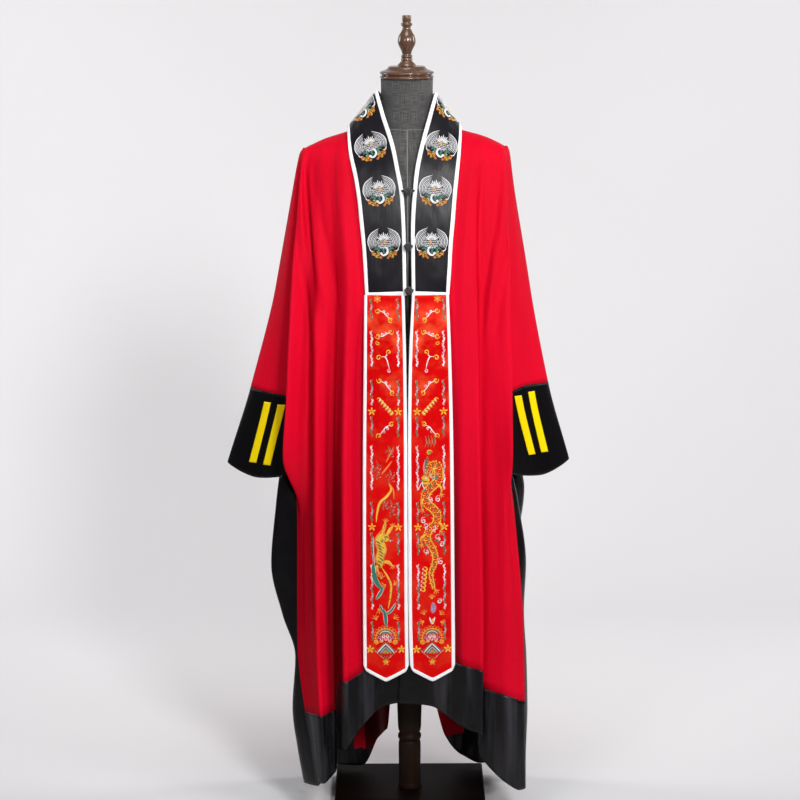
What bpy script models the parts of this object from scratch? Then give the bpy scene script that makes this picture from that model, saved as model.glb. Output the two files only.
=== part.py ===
"""Taoist robe set worn on a limbless dress form: red robe with black satin borders,
black collar band with white piping, and two hanging ribbons. Metres, +Z up, front on -Y.
The origin is the middle of the base plate's underside."""

import math
from collections import namedtuple

import bmesh
import bpy
from mathutils import Vector

OBJECT_NAME = "taoist_robe_set"

# Driving sizes
CLOTH = 0.0020            # wall of the red cloth and of the satin borders
BAND = 0.0024             # wall of the collar band and of the ribbons
PIPING = 0.0034           # thickness of the white piping
PIPING_WIDTH = 0.0078
SEAM_GAP = 0.0003         # left between pieces that are sewn together
SIDE_GAP = 0.0015         # the same down a long side seam, whose two edges curve
BORDER_GAP = 0.0030       # the same where a side border turns round a fold
SHOULDER_ROLL = 0.060     # root of the drop over which a panel is drawn to its side of the seam
COLLAR_BOTTOM = 1.148
RIBBON_CORNER = 0.342
RIBBON_TIP = 0.316
BAR_WIDTH = 0.018
BAR_LENGTH = 0.124
BAR_WALL = 0.0014
BAR_DROP = 0.024          # from the cuff's seam to the bar's upper end
BAR_CLEARANCE = 0.0007    # the cuff curves under a bar
CAP_BOTTOM = 1.592
TORSO_BOTTOM = 0.812
BASE_SIDE = 0.330
BASE_HEIGHT = 0.028
BASE_ROUNDING = 0.004
TURNED_SEGMENTS = 18

# Points across each piece's wall, and rows down it
FRONT_COLUMNS = 25
BACK_COLUMNS = 19
SLEEVE_COLUMNS = 17
SLEEVE_ROWS = 10
CUFF_ROWS = 5
BAR_POINTS = 4
SIDE_BORDER_COLUMNS = 7
COLLAR_ROWS = 23
RIBBON_ROWS = 13
STRIP_COLUMNS = 5         # across the collar band and the ribbons

# Front of the drape: how far it stands out at the middle, and how much it rounds away
# height, reach of the front, reach of the back, rounding
DRAPE = (
    (1.500, 0.060, 0.072, 1.30),
    (1.460, 0.085, 0.092, 1.30),
    (1.410, 0.104, 0.110, 1.30),
    (1.366, 0.114, 0.119, 1.30),
    (1.300, 0.126, 0.127, 1.25),
    (1.235, 0.134, 0.130, 1.20),
    (1.150, 0.142, 0.130, 1.20),
    (0.930, 0.148, 0.130, 1.00),
    (0.680, 0.150, 0.135, 0.70),
    (0.400, 0.154, 0.142, 0.50),
    (0.100, 0.157, 0.150, 0.40),
    (0.000, 0.158, 0.152, 0.38),
)

# Each fold line runs down from its top point. At each of these heights it has a pair:
# its place across, and how far it stands out of the drape (mm). Then come the height
# of the seam with the hem border and the height of the hem (mm).
HEIGHTS = (1.440, 1.380, 1.150, 0.930, 0.800, 0.680, 0.400, 0.100)
Fold = namedtuple("Fold", "name top path seam hem")

FRONT_LEFT = (
    Fold("front edge", (-108, 0, 1484),
         ((-102, 0), (-96, 0), (-60, -1), (-20, -3), (-14, -3), (-12, -4), (-12, -4), (-22, -4)), 405, 266),
    Fold("behind ribbon", (-114, 0, 1483),
         ((-108, 0), (-102, 0), (-78, 0), (-62, -1), (-58, -2), (-56, -2), (-56, -2), (-58, -2)), 390, 256),
    Fold("beside ribbon", (-120, 0, 1481),
         ((-124, 0), (-117, 0), (-100, 0), (-102, 0), (-103, 0),
          (-103, 0), (-104, 0), (-106, 0)), 350, 236),
    Fold("first ridge", (-136, 0, 1477),
         ((-140, 4), (-136, 6), (-123, 17), (-120, 24), (-121, 26),
          (-123, 28), (-127, 30), (-129, 32)), 326, 166),
    Fold("first trough", (-156, 0, 1471),
         ((-157, 1), (-158, 2), (-155, 0), (-154, -6), (-155, -8),
          (-156, -10), (-159, -10), (-160, -8)), 286, 132),
    Fold("second ridge", (-176, 0, 1464),
         ((-183, 4), (-190, 8), (-188, 22), (-183, 30), (-184, 32),
          (-186, 32), (-188, 30), (-182, 26)), 240, 86),
    Fold("second trough", (-194, 0, 1456),
         ((-203, 2), (-212, 4), (-215, 4), (-217, -4), (-217, -6),
          (-214, 4), (-210, 8), (-191, 22)), 240, 81),
    Fold("drape edge", (-208, 0, 1450),
         ((-218, 6), (-228, 16), (-245, 40), (-257, 54), (-266, 54),
          (-228, 28), (-228, 20), (-199, 20)), 240, 80),
    Fold("outer seam", (-215, 0, 1446),
         ((-218, -12), (-226, -10), (-234, -10), (-238, -14),
          (-248, -8), (-238, 16), (-240, 15), (-205, 18)), 240, 79),
)
FRONT_RIGHT = (
    Fold("front edge", (102, 0, 1484),
         ((97, 0), (92, 0), (62, 1), (22, 2), (8, 3), (2, 4), (-16, 6), (-34, 6)), 410, 266),
    Fold("behind ribbon", (108, 0, 1483),
         ((103, 0), (98, 0), (78, 0), (60, 0), (56, 0), (54, 0), (48, 2), (42, 2)), 400, 258),
    Fold("beside ribbon", (114, 0, 1481),
         ((119, 0), (112, 0), (97, 0), (100, 0), (102, 0), (103, 0), (106, 0), (108, 0)), 352, 216),
    Fold("soft ridge", (130, 0, 1478),
         ((133, 3), (127, 5), (126, 12), (130, 18), (133, 20), (135, 22), (140, 24), (142, 26)), 345, 204),
    Fold("pleat edge", (150, 0, 1473),
         ((146, 4), (140, 6), (146, 16), (147, 26), (149, 30), (151, 32), (156, 34), (155, 34)), 340, 198),
    Fold("pleat tuck", (162, 0, 1469),
         ((158, 3), (154, 4), (154, 6), (151, 6), (149, 6), (148, 6), (150, 6), (150, 6)), 310, 150),
    Fold("outer ridge", (180, 0, 1462),
         ((180, 4), (180, 6), (183, 20), (193, 28), (197, 30), (200, 30), (208, 30), (212, 26)), 290, 84),
    Fold("drape edge", (198, 0, 1453),
         ((203, 6), (210, 16), (218, 38), (222, 50), (222, 54), (220, 30), (238, 22), (238, 20)), 268, 68),
    Fold("outer seam", (207, 0, 1448),
         ((208, -12), (211, -8), (207, -8), (204, -18), (211, -8),
          (231, 14), (249, 10), (250, 8)), 262, 68),
)
BACK_LEFT = (
    Fold("centre back", (0, 84, 1474),
         ((0, 0), (0, 0), (0, 0), (0, 0), (0, 2), (0, 4), (0, 6), (0, 6)), 400, 262),
    Fold("first ridge", (-38, 72, 1476),
         ((-40, 0), (-40, 0), (-42, 4), (-42, 10), (-43, 14), (-44, 18), (-45, 20), (-40, 22)), 340, 206),
    Fold("first trough", (-74, 48, 1480),
         ((-76, 0), (-78, 0), (-80, 0), (-82, -6), (-83, -8), (-84, -8), (-86, -10), (-70, -6)), 236, 98),
    Fold("second ridge", (-108, 0, 1484),
         ((-110, 2), (-112, 2), (-116, 6), (-118, 12), (-120, 14),
          (-121, 14), (-122, 6), (-108, -20)), 190, 70),
    Fold("second trough", (-142, 0, 1475),
         ((-146, 2), (-150, 2), (-154, 0), (-156, -8), (-157, -10),
          (-157, -12), (-158, -12), (-158, -10)), 176, 36),
    Fold("third ridge", (-176, 0, 1464),
         ((-182, 4), (-188, 6), (-194, 14), (-197, 22), (-199, 24),
          (-200, 26), (-202, 28), (-200, 26)), 172, 32),
    Fold("outer seam", (-215, 0, 1446),
         ((-218, -12), (-226, -10), (-234, -6), (-238, -10),
          (-240, -8), (-238, 0), (-232, 2), (-226, 4)), 172, 34),
)
BACK_RIGHT = (
    Fold("centre back", (0, 84, 1474),
         ((0, 0), (0, 0), (0, 0), (0, 0), (0, 2), (0, 4), (0, 6), (0, 6)), 400, 262),
    Fold("first ridge", (36, 73, 1476),
         ((37, 0), (38, 0), (40, 3), (38, 9), (39, 12), (40, 15), (42, 18), (46, 20)), 350, 214),
    Fold("first trough", (70, 50, 1480),
         ((72, 0), (74, 0), (78, 0), (76, -6), (77, -9), (78, -10), (80, -10), (82, -8)), 226, 100),
    Fold("second ridge", (102, 0, 1484),
         ((105, 2), (108, 2), (112, 8), (114, 14), (116, 16), (117, 18), (119, 18), (120, 14)), 190, 48),
    Fold("second trough", (138, 0, 1476),
         ((141, 2), (144, 2), (148, 0), (150, -6), (152, -9), (153, -10), (156, -12), (157, -10)), 176, 38),
    Fold("third ridge", (170, 0, 1466),
         ((174, 4), (178, 6), (182, 13), (186, 20), (188, 24), (190, 24), (196, 26), (198, 24)), 172, 34),
    Fold("outer seam", (207, 0, 1448),
         ((208, -12), (211, -8), (210, -6), (208, -10), (212, -8), (216, 0), (224, 4), (226, 6)), 172, 36),
)

# Sleeve lines between the two outer seams: across and depth (mm) at the top and at
# each height, then the heights of the seam with the cuff and of the sleeve's mouth
SLEEVE_HEIGHTS = (1.380, 1.150, 0.930, 0.764, 0.650)
SleeveLine = namedtuple("SleeveLine", "name top path seam mouth")
SLEEVE_LEFT = (
    SleeveLine("front face", (-220, -4, 1441),
               ((-237, -28), (-262, -46), (-292, -46), (-322, -44), (-340, -42)), 924, 742),
    SleeveLine("fold along the top", (-223, 0, 1441),
               ((-240, 0), (-283, 0), (-340, 0), (-393, 0), (-428, 0)), 930, 764),
    SleeveLine("back face", (-220, 4, 1441),
               ((-237, 28), (-262, 44), (-290, 46), (-318, 46), (-336, 44)), 924, 744),
)
SLEEVE_RIGHT = (
    SleeveLine("front face", (212, -4, 1442),
               ((222, -27), (240, -44), (258, -46), (284, -44), (300, -42)), 930, 748),
    SleeveLine("fold along the top", (215, 0, 1442),
               ((225, 0), (262, 0), (304, 0), (350, 0), (380, 0)), 938, 768),
    SleeveLine("back face", (212, 4, 1442),
               ((222, 27), (241, 42), (258, 44), (282, 44), (298, 42)), 930, 742),
)
CUFF_SEAM_INNER = 0.918
MOUTH_INNER = 0.806

# Side borders, behind the outer seam: across and depth (mm) at each height
BORDER_HEIGHTS = (0.775, 0.690, 0.560, 0.450, 0.360, 0.240, 0.150, 0.060)
BorderLine = namedtuple("BorderLine", "name path hem")
BORDER_FRONT_LEFT = (
    BorderLine("folded edge", ((-273, -116), (-283, -116), (-295, -112), (-272, -112), (-246, -116),
                               (-253, -112), (-243, -112), (-228, -112)), 74),
    BorderLine("turned behind", ((-262, -92), (-268, -74), (-272, -72), (-256, -72), (-232, -76),
                                 (-240, -70), (-232, -68), (-220, -66)), 60),
    BorderLine("cut edge", ((-252, -80), (-238, -56), (-240, -52), (-228, -50), (-208, -52),
                            (-212, -46), (-206, -44), (-198, -42)), 50),
)
BORDER_FRONT_RIGHT = (
    BorderLine("folded edge", ((218, -114), (241, -112), (259, -108), (247, -110), (252, -106),
                               (255, -108), (250, -110), (240, -108)), 66),
    BorderLine("turned behind", ((214, -92), (230, -74), (238, -70), (232, -70), (238, -72),
                                 (240, -70), (234, -68), (226, -66)), 76),
    BorderLine("cut edge", ((206, -80), (212, -58), (214, -52), (208, -50), (212, -50),
                            (214, -48), (208, -44), (202, -42)), 104),
)
BORDER_BACK_LEFT = (
    BorderLine("folded edge", ((-250, 62), (-258, 60), (-262, 62), (-266, 60), (-240, 60),
                               (-236, 62), (-232, 62), (-226, 62)), 34),
    BorderLine("turned forward", ((-243, 40), (-248, 32), (-250, 30), (-252, 28), (-228, 28),
                                  (-222, 26), (-216, 26), (-210, 26)), 34),
    BorderLine("cut edge", ((-238, 26), (-226, 10), (-224, 6), (-226, 4), (-206, 2),
                            (-198, 0), (-192, 0), (-188, 0)), 36),
)
BORDER_BACK_RIGHT = (
    BorderLine("folded edge", ((236, 62), (254, 58), (238, 60), (232, 60), (232, 60),
                               (236, 62), (234, 62), (230, 62)), 38),
    BorderLine("turned forward", ((228, 40), (240, 30), (226, 28), (218, 28), (218, 28),
                                  (220, 26), (218, 26), (214, 26)), 58),
    BorderLine("cut edge", ((220, 26), (216, 8), (204, 4), (198, 2), (196, 2),
                            (196, 0), (194, 0), (190, 0)), 96),
)
# Rows down a panel, as shares of the root of its drop, closer where the side edge turns
PANEL_ROWS = (0.0, 0.06, 0.12, 0.18, 0.26, 0.35, 0.44, 0.53, 0.61, 0.67, 0.705, 0.735, 0.765,
              0.795, 0.83, 0.88, 0.94, 1.0)
HEM_ROWS = (0.0, 0.5, 1.0)
BORDER_ROWS = (0.0, 0.035, 0.07, 0.105, 0.15, 0.22, 0.30, 0.40, 0.51, 0.62, 0.74, 0.87, 1.0)
BORDER_TOP_SEAM = 0.768
BORDER_TOPS = (768, 756, 726, 716)      # upper edge of a side border on each of its lines (mm)

# Collar band, from the centre back to its lower end (mm)
CollarStation = namedtuple("CollarStation", "name inner outer")
COLLAR_LEFT = (
    CollarStation("centre back", (0, 62, 1544), (0, 106, 1464)),
    CollarStation("back of neck", (-26, 58, 1546), (-58, 92, 1468)),
    CollarStation("behind shoulder", (-51, 37, 1556), (-103, 56, 1477)),
    CollarStation("top of shoulder", (-63, 2, 1567), (-124, 6, 1491)),
    CollarStation("front of shoulder", (-61, -33, 1566), (-126, -42, 1481)),
    CollarStation("neck hollow", (-47, -64, 1520), (-122, None, 1436)),
    CollarStation("upper chest", (-28, None, 1462), (-112, None, 1390)),
    CollarStation("chest", (-17, None, 1410), (-105, None, 1344)),
    CollarStation("first button", (-9, None, 1366), (-101, None, 1302)),
    CollarStation("below first button", (-5, None, 1297), (-96, None, 1252)),
    CollarStation("second button", (-4, None, 1241), (-93, None, 1206)),
    CollarStation("lower end", (-3, None, 1148), (-90, None, 1148)),
)
COLLAR_RIGHT = (
    CollarStation("centre back", (0, 62, 1544), (0, 106, 1464)),
    CollarStation("back of neck", (26, 58, 1546), (56, 92, 1468)),
    CollarStation("behind shoulder", (49, 37, 1553), (97, 56, 1477)),
    CollarStation("top of shoulder", (60, 2, 1562), (114, 6, 1491)),
    CollarStation("front of shoulder", (58, -33, 1561), (115, -42, 1481)),
    CollarStation("neck hollow", (45, -64, 1520), (112, None, 1438)),
    CollarStation("upper chest", (28, None, 1462), (107, None, 1390)),
    CollarStation("chest", (17, None, 1414), (103, None, 1350)),
    CollarStation("first button", (11, None, 1362), (99, None, 1302)),
    CollarStation("below first button", (7, None, 1300), (94, None, 1250)),
    CollarStation("second button", (7, None, 1241), (91, None, 1200)),
    CollarStation("lower end", (8, None, 1148), (87, None, 1148)),
)
FRONT_OF_SHOULDER = 4     # the station from which the band comes onto the drape
ONTO_CHEST = 1.5          # over so many stations
COLLAR_LIFT = 0.0040      # middle of the band's wall, in front of the drape
RIBBON_LIFT = 0.0110      # the same for the ribbons, which hang clear
RIBBON_START = 0.060      # they swing clear over this drop below the collar
RIBBON_BOW = 0.002

# Ribbons: height, inner side and outer side across (mm)
RIBBON_LEFT = ((1148, -7, -92), (1000, -4, -94), (800, -3, -97), (500, -3, -99), (300, -1, -99))
RIBBON_RIGHT = ((1148, 8, 86), (1000, 1, 91), (800, -2, 95), (500, -2, 97), (300, 2, 98))

BUTTON_HEIGHTS = (1.366, 1.252, 1.160)
BUTTON_RADIUS = 0.0072
CORD_RADIUS = 0.0016
CORD_REACH = 0.0065       # the loop's ends, on the pipings

# Torso rings: height, half width, front, back, then half width and depth of the shoulders' ridge
TORSO_RINGS = (
    (CAP_BOTTOM - 0.0003, 0.0555, 0.0555, 0.0555, 0.010, 0.010),
    (1.5600, 0.0550, 0.0550, 0.0550, 0.010, 0.010),
    (1.5300, 0.0555, 0.0560, 0.0560, 0.010, 0.010),
    (1.5060, 0.0590, 0.0590, 0.0590, 0.060, 0.030),
    (1.4880, 0.0620, 0.0600, 0.0610, 0.079, 0.032),
    (1.4792, 0.0680, 0.0610, 0.0630, 0.114, 0.032),
    (1.4734, 0.0760, 0.0630, 0.0660, 0.140, 0.036),
    (1.4664, 0.0880, 0.0660, 0.0720, 0.162, 0.042),
    (1.4592, 0.1040, 0.0690, 0.0770, 0.181, 0.046),
    (1.4500, 0.1240, 0.0720, 0.0820, 0.196, 0.050),
    (1.4400, 0.1440, 0.0760, 0.0860, 0.201, 0.056),
    (1.4200, 0.1760, 0.0840, 0.0920, 0.204, 0.064),
    (1.3800, 0.2000, 0.0950, 0.1010, 0.010, 0.010),
    (1.3200, 0.1960, 0.1110, 0.1120, 0.010, 0.010),
    (1.2400, 0.1840, 0.1180, 0.1140, 0.010, 0.010),
    (1.1500, 0.1640, 0.1140, 0.1040, 0.010, 0.010),
    (1.0600, 0.1440, 0.1040, 0.0920, 0.010, 0.010),
    (0.9700, 0.1540, 0.1040, 0.0960, 0.010, 0.010),
    (0.8900, 0.1680, 0.1080, 0.1040, 0.010, 0.010),
    (0.8300, 0.1680, 0.1080, 0.1040, 0.010, 0.010),
    (TORSO_BOTTOM, 0.1560, 0.0980, 0.0940, 0.010, 0.010),
)
TORSO_SEGMENTS = 24

# Turned profiles: height above the part's foot and radius (mm), top to bottom
CAP_PROFILE = (
    (26.0, 0.0), (26.0, 37.0), (24.5, 39.5), (22.0, 41.0), (18.5, 46.0), (16.0, 53.0), (14.0, 57.0),
    (12.0, 57.6), (10.0, 56.6), (9.0, 54.0), (7.6, 53.4), (6.4, 55.4), (4.4, 57.2), (2.2, 57.0),
    (0.6, 55.4), (0.0, 54.0), (0.0, 0.0),
)
FINIAL_PROFILE = (
    (106.5, 0.0), (106.5, 8.0), (105.0, 9.4), (94.5, 9.4), (93.0, 8.6), (91.5, 9.0), (90.0, 11.6),
    (87.5, 12.2), (85.0, 11.4), (83.0, 9.2), (79.0, 9.0), (72.0, 12.0), (63.0, 17.0), (54.0, 19.0),
    (46.0, 18.2), (38.0, 14.6), (30.0, 10.8), (24.0, 9.8), (22.0, 11.8), (19.5, 12.2), (17.5, 10.8),
    (15.5, 12.0), (13.0, 12.4), (11.0, 11.6), (8.0, 14.0), (4.0, 18.0),
    (1.5, 19.6), (0.0, 19.0), (0.0, 0.0),
)
POLE_PROFILE = (
    (783.3, 0.0), (783.3, 24.5), (130.0, 24.5), (127.5, 23.0), (124.0, 22.6), (121.0, 24.6), (118.0, 25.6),
    (114.0, 25.6), (111.0, 24.6), (108.0, 22.8), (105.0, 23.4), (102.0, 24.2), (12.0, 24.2), (6.0, 25.4),
    (0.0, 25.6), (0.0, 0.0),
)

RED_CLOTH = ("red robe cloth", (0.62, 0.004, 0.022), 0.62)
BLACK_SATIN = ("black satin", (0.016, 0.014, 0.018), 0.34)
RED_SATIN = ("red satin", (0.58, 0.010, 0.010), 0.38)
WHITE_PIPING = ("white piping", (0.80, 0.78, 0.80), 0.55)
YELLOW_SATIN = ("yellow satin", (0.80, 0.58, 0.01), 0.42)
LINEN = ("grey linen", (0.070, 0.066, 0.064), 0.85)
WOOD = ("brown turned wood", (0.085, 0.045, 0.028), 0.30)
DARK_WOOD = ("dark stand wood", (0.030, 0.018, 0.012), 0.35)


def clear_scene():
    for old in list(bpy.data.objects):
        bpy.data.objects.remove(old, do_unlink=True)


def material(recipe):
    name, colour, roughness = recipe
    found = bpy.data.materials.get(name)
    if found:
        return found
    made = bpy.data.materials.new(name)
    made.use_nodes = True
    shader = made.node_tree.nodes["Principled BSDF"]
    shader.inputs["Base Color"].default_value = (*colour, 1.0)
    shader.inputs["Roughness"].default_value = roughness
    shader.inputs["Metallic"].default_value = 0.0
    made.diffuse_color = (*colour, 1.0)
    return made


def millimetres(values):
    return Vector([value / 1000.0 for value in values])


def slope_at(knots, values, index):
    """Slope of a smooth curve at a knot, flat where the values turn."""
    if index == 0:
        return (values[1] - values[0]) / (knots[1] - knots[0])
    if index == len(knots) - 1:
        return (values[-1] - values[-2]) / (knots[-1] - knots[-2])
    before = (values[index] - values[index - 1]) / (knots[index] - knots[index - 1])
    after = (values[index + 1] - values[index]) / (knots[index + 1] - knots[index])
    if before * after <= 0:
        return 0.0
    return 2.0 * before * after / (before + after)


def read_smooth(knots, values, at):
    """Reads a smooth curve through values given at rising knots, straight past its ends."""
    last = len(knots) - 1
    if at <= knots[0]:
        return values[0] + slope_at(knots, values, 0) * (at - knots[0])
    if at >= knots[last]:
        return values[last] + slope_at(knots, values, last) * (at - knots[last])
    index = 0
    while at > knots[index + 1]:
        index += 1
    span = knots[index + 1] - knots[index]
    t = (at - knots[index]) / span
    start = values[index]
    end = values[index + 1]
    rise_in = slope_at(knots, values, index) * span
    rise_out = slope_at(knots, values, index + 1) * span
    return (start * (1 + 2 * t) * (1 - t) ** 2 + rise_in * t * (1 - t) ** 2
            + end * t * t * (3 - 2 * t) + rise_out * t * t * (t - 1))


def drape_depth(across, height, back=False):
    """Depth of the plain drape, before its folds, at a place on the front or the back."""
    rows = DRAPE[::-1]
    heights = [row[0] for row in rows]
    reach = read_smooth(heights, [row[2 if back else 1] for row in rows], height)
    rounding = read_smooth(heights, [row[3] for row in rows], height)
    depth = reach - rounding * across * across
    return depth if back else -depth


def fold_point(fold, height, back=False):
    """Point of a fold line at a height. Near its top the line rolls over the shoulder."""
    top = millimetres(fold.top)
    knots = [0.0]
    across = [top.x]
    depth = [top.y]
    for level, (x, out) in zip(HEIGHTS, fold.path):
        x = x / 1000.0
        knots.append(math.sqrt(top.z - level))
        across.append(x)
        base = drape_depth(x, level, back)
        depth.append(base + (out if back else -out) / 1000.0)
    at = math.sqrt(max(top.z - height, 0.0))
    return Vector((read_smooth(knots, across, at), read_smooth(knots, depth, at), height))


def sleeve_point(line, height):
    top = millimetres(line.top)
    knots = [0.0]
    across = [top.x]
    depth = [top.y]
    for level, (x, y) in zip(SLEEVE_HEIGHTS, line.path):
        knots.append(math.sqrt(top.z - level))
        across.append(x / 1000.0)
        depth.append(y / 1000.0)
    at = math.sqrt(max(top.z - height, 0.0))
    return Vector((read_smooth(knots, across, at), read_smooth(knots, depth, at), height))


def border_point(line, height):
    heights = BORDER_HEIGHTS[::-1]
    across = [pair[0] / 1000.0 for pair in line.path][::-1]
    depth = [pair[1] / 1000.0 for pair in line.path][::-1]
    return Vector((read_smooth(heights, across, height), read_smooth(heights, depth, height), height))


def along_spline(points, at):
    """Reads a smooth curve through points, at a whole number on each of them."""
    last = len(points) - 1
    index = min(max(int(math.floor(at)), 0), last - 1)
    before = points[index - 1] if index > 0 else points[0] * 2 - points[1]
    after = points[index + 2] if index + 2 <= last else points[last] * 2 - points[last - 1]
    here, there = points[index], points[index + 1]
    knots = [0.0]
    for first, second in ((before, here), (here, there), (there, after)):
        knots.append(knots[-1] + max((second - first).length, 1e-6) ** 0.5)
    t = knots[1] + (at - index) * (knots[2] - knots[1])

    def mix(first, second, low, high):
        return first * ((high - t) / (high - low)) + second * ((t - low) / (high - low))

    one = mix(before, here, knots[0], knots[1])
    two = mix(here, there, knots[1], knots[2])
    three = mix(there, after, knots[2], knots[3])
    return mix(mix(one, two, knots[0], knots[2]), mix(two, three, knots[1], knots[3]), knots[1], knots[2])


def spread(first, last, count):
    return [first + (last - first) * step / (count - 1) for step in range(count)]


def surface_normal(surface, u, v, step=0.004):
    across = surface(u + step, v) - surface(u - step, v)
    down = surface(u, v + step) - surface(u, max(v - step, 0.0))
    return across.cross(down).normalized()


def collection(name):
    found = bpy.data.collections.get(name)
    if not found:
        found = bpy.data.collections.new(name)
        bpy.context.scene.collection.children.link(found)
    return found


def add_object(name, mesh, recipe, smooth=True):
    mesh.materials.append(material(recipe))
    if smooth:
        mesh.shade_smooth()
        mesh.set_sharp_from_angle(angle=math.radians(50))
    made = bpy.data.objects.new(name, mesh)
    collection(OBJECT_NAME).objects.link(made)
    return made


def trim_edges(grid, end_gap, side_gap):
    """Draws each border of a grid of points in by half the gap left at its seam."""
    rows, columns = len(grid), len(grid[0])
    for i in range(rows):
        for edge, inner in ((0, 1), (columns - 1, columns - 2)):
            pull = grid[i][inner] - grid[i][edge]
            grid[i][edge] = grid[i][edge] + pull * min(side_gap / 2 / pull.length, 0.4)
    for j in range(columns):
        for edge, inner in ((0, 1), (rows - 1, rows - 2)):
            pull = grid[inner][j] - grid[edge][j]
            grid[edge][j] = grid[edge][j] + pull * min(end_gap / 2 / pull.length, 0.4)


def cloth_wall(name, surface, places, thickness, recipe, end_gap=SEAM_GAP, side_gap=SEAM_GAP, lift=0.0):
    """A wall of even thickness on a surface. places holds rows of (u, v)."""
    points = [[surface(u, v) for u, v in row] for row in places]
    normals = [[surface_normal(surface, u, v) for u, v in row] for row in places]
    trim_edges(points, end_gap, side_gap)
    rows, columns = len(points), len(points[0])
    mesh = bpy.data.meshes.new(name)
    shape = bmesh.new()
    sides = []
    for offset in (lift + thickness / 2, lift - thickness / 2):
        sides.append([[shape.verts.new(points[i][j] + normals[i][j] * offset)
                       for j in range(columns)] for i in range(rows)])
    for side in sides:
        for i in range(rows - 1):
            for j in range(columns - 1):
                shape.faces.new((side[i][j], side[i][j + 1], side[i + 1][j + 1], side[i + 1][j]))
    rim = [((i, j), (i, j + 1)) for i in (0, rows - 1) for j in range(columns - 1)]
    rim += [((i, j), (i + 1, j)) for j in (0, columns - 1) for i in range(rows - 1)]
    for (i, j), (k, m) in rim:
        shape.faces.new((sides[0][i][j], sides[0][k][m], sides[1][k][m]))
        shape.faces.new((sides[0][i][j], sides[1][k][m], sides[1][i][j]))
    bmesh.ops.recalc_face_normals(shape, faces=shape.faces)
    shape.to_mesh(mesh)
    shape.free()
    return add_object(name, mesh, recipe)


def fold_value(folds, at, field):
    """Reads a height that each fold line gives, between the lines as well."""
    if field == "top":
        values = [fold.top[2] / 1000.0 for fold in folds]
    else:
        values = [getattr(fold, field) / 1000.0 for fold in folds]
    return read_smooth(list(range(len(folds))), values, at)


def panel_surface(folds, back, beyond):
    def read(u, root):
        drop = root * root
        points = [fold_point(fold, fold.top[2] / 1000.0 - drop, back) for fold in folds]
        if back:
            before = Vector((-points[1].x, points[1].y, points[1].z))
        else:
            before = points[0] * 2 - points[1]
        lead = beyond(folds[-1].top[2] / 1000.0 - drop)
        return along_spline([before] + points + [lead], u + 1)

    def surface(u, root):
        """u counts the fold lines, root is the square root of the drop from the shoulder."""
        point = read(u, root)
        if root < SHOULDER_ROLL:
            edge = read(u, 0.0).y
            past_the_seam = min(edge, 0.0) if back else max(edge, 0.0)
            point.y -= past_the_seam * (1.0 - root / SHOULDER_ROLL)
        return point
    return surface


def make_side(side, front, rear, sleeve, border_front, border_back):
    """The robe's red cloth and its borders on one side, split as they are sewn."""
    def beyond_front(height):
        if height > BORDER_TOP_SEAM:
            return sleeve_point(sleeve[0], height)
        return border_point(border_front[0], height)

    def beyond_rear(height):
        if height > BORDER_TOP_SEAM:
            return sleeve_point(sleeve[2], height)
        return border_point(border_back[0], height)

    front_surface = panel_surface(front, False, beyond_front)
    rear_surface = panel_surface(rear, True, beyond_rear)

    def rows_between(folds, upper, lower, columns, shares):
        places = []
        for share in shares:
            row = []
            for u in spread(0, len(folds) - 1, columns):
                top = fold_value(folds, u, "top")
                first = math.sqrt(top - fold_value(folds, u, upper))
                last = math.sqrt(top - fold_value(folds, u, lower))
                row.append((u, first + (last - first) * share))
            places.append(row)
        return places

    red_rows = rows_between(front, "top", "seam", FRONT_COLUMNS, PANEL_ROWS)
    black_rows = rows_between(front, "seam", "hem", FRONT_COLUMNS, HEM_ROWS)
    cloth_wall("front_" + side, front_surface, red_rows, CLOTH, RED_CLOTH, side_gap=SIDE_GAP)
    cloth_wall("hem_front_" + side, front_surface, black_rows, CLOTH, BLACK_SATIN, side_gap=SIDE_GAP)
    red_rows = rows_between(rear, "top", "seam", BACK_COLUMNS, PANEL_ROWS)
    black_rows = rows_between(rear, "seam", "hem", BACK_COLUMNS, HEM_ROWS)
    cloth_wall("back_" + side, rear_surface, red_rows, CLOTH, RED_CLOTH, side_gap=SIDE_GAP)
    cloth_wall("hem_back_" + side, rear_surface, black_rows, CLOTH, BLACK_SATIN, side_gap=SIDE_GAP)

    sleeve_top = sleeve[1].top[2] / 1000.0

    def sleeve_surface(u, drop):
        height = sleeve_top - drop
        points = [fold_point(front[-2], height), fold_point(front[-1], height)]
        points += [sleeve_point(line, height) for line in sleeve]
        points += [fold_point(rear[-1], height, True), fold_point(rear[-2], height, True)]
        return along_spline(points, u + 1)

    inner = [CUFF_SEAM_INNER] + [line.seam / 1000.0 for line in sleeve] + [CUFF_SEAM_INNER]
    mouth = [MOUTH_INNER] + [line.mouth / 1000.0 for line in sleeve] + [MOUTH_INNER]
    knots = list(range(len(inner)))

    def sleeve_rows(first_of, last_of, rows):
        return [[(u, first_of(u) + (last_of(u) - first_of(u)) * share)
                 for u in spread(0, knots[-1], SLEEVE_COLUMNS)] for share in spread(0.0, 1.0, rows)]

    def seam_drop(u):
        return sleeve_top - read_smooth(knots, inner, u)

    def mouth_drop(u):
        return sleeve_top - read_smooth(knots, mouth, u)

    cloth_wall("sleeve_" + side, sleeve_surface, sleeve_rows(lambda u: 0.0, seam_drop, SLEEVE_ROWS),
               CLOTH, RED_CLOTH, side_gap=SIDE_GAP)
    cloth_wall("cuff_" + side, sleeve_surface, sleeve_rows(seam_drop, mouth_drop, CUFF_ROWS),
               CLOTH, BLACK_SATIN, side_gap=SIDE_GAP)
    make_bars(side, sleeve_surface, seam_drop)

    make_side_border("side_border_front_" + side, front, border_front, False)
    make_side_border("side_border_back_" + side, rear, border_back, True)


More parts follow.
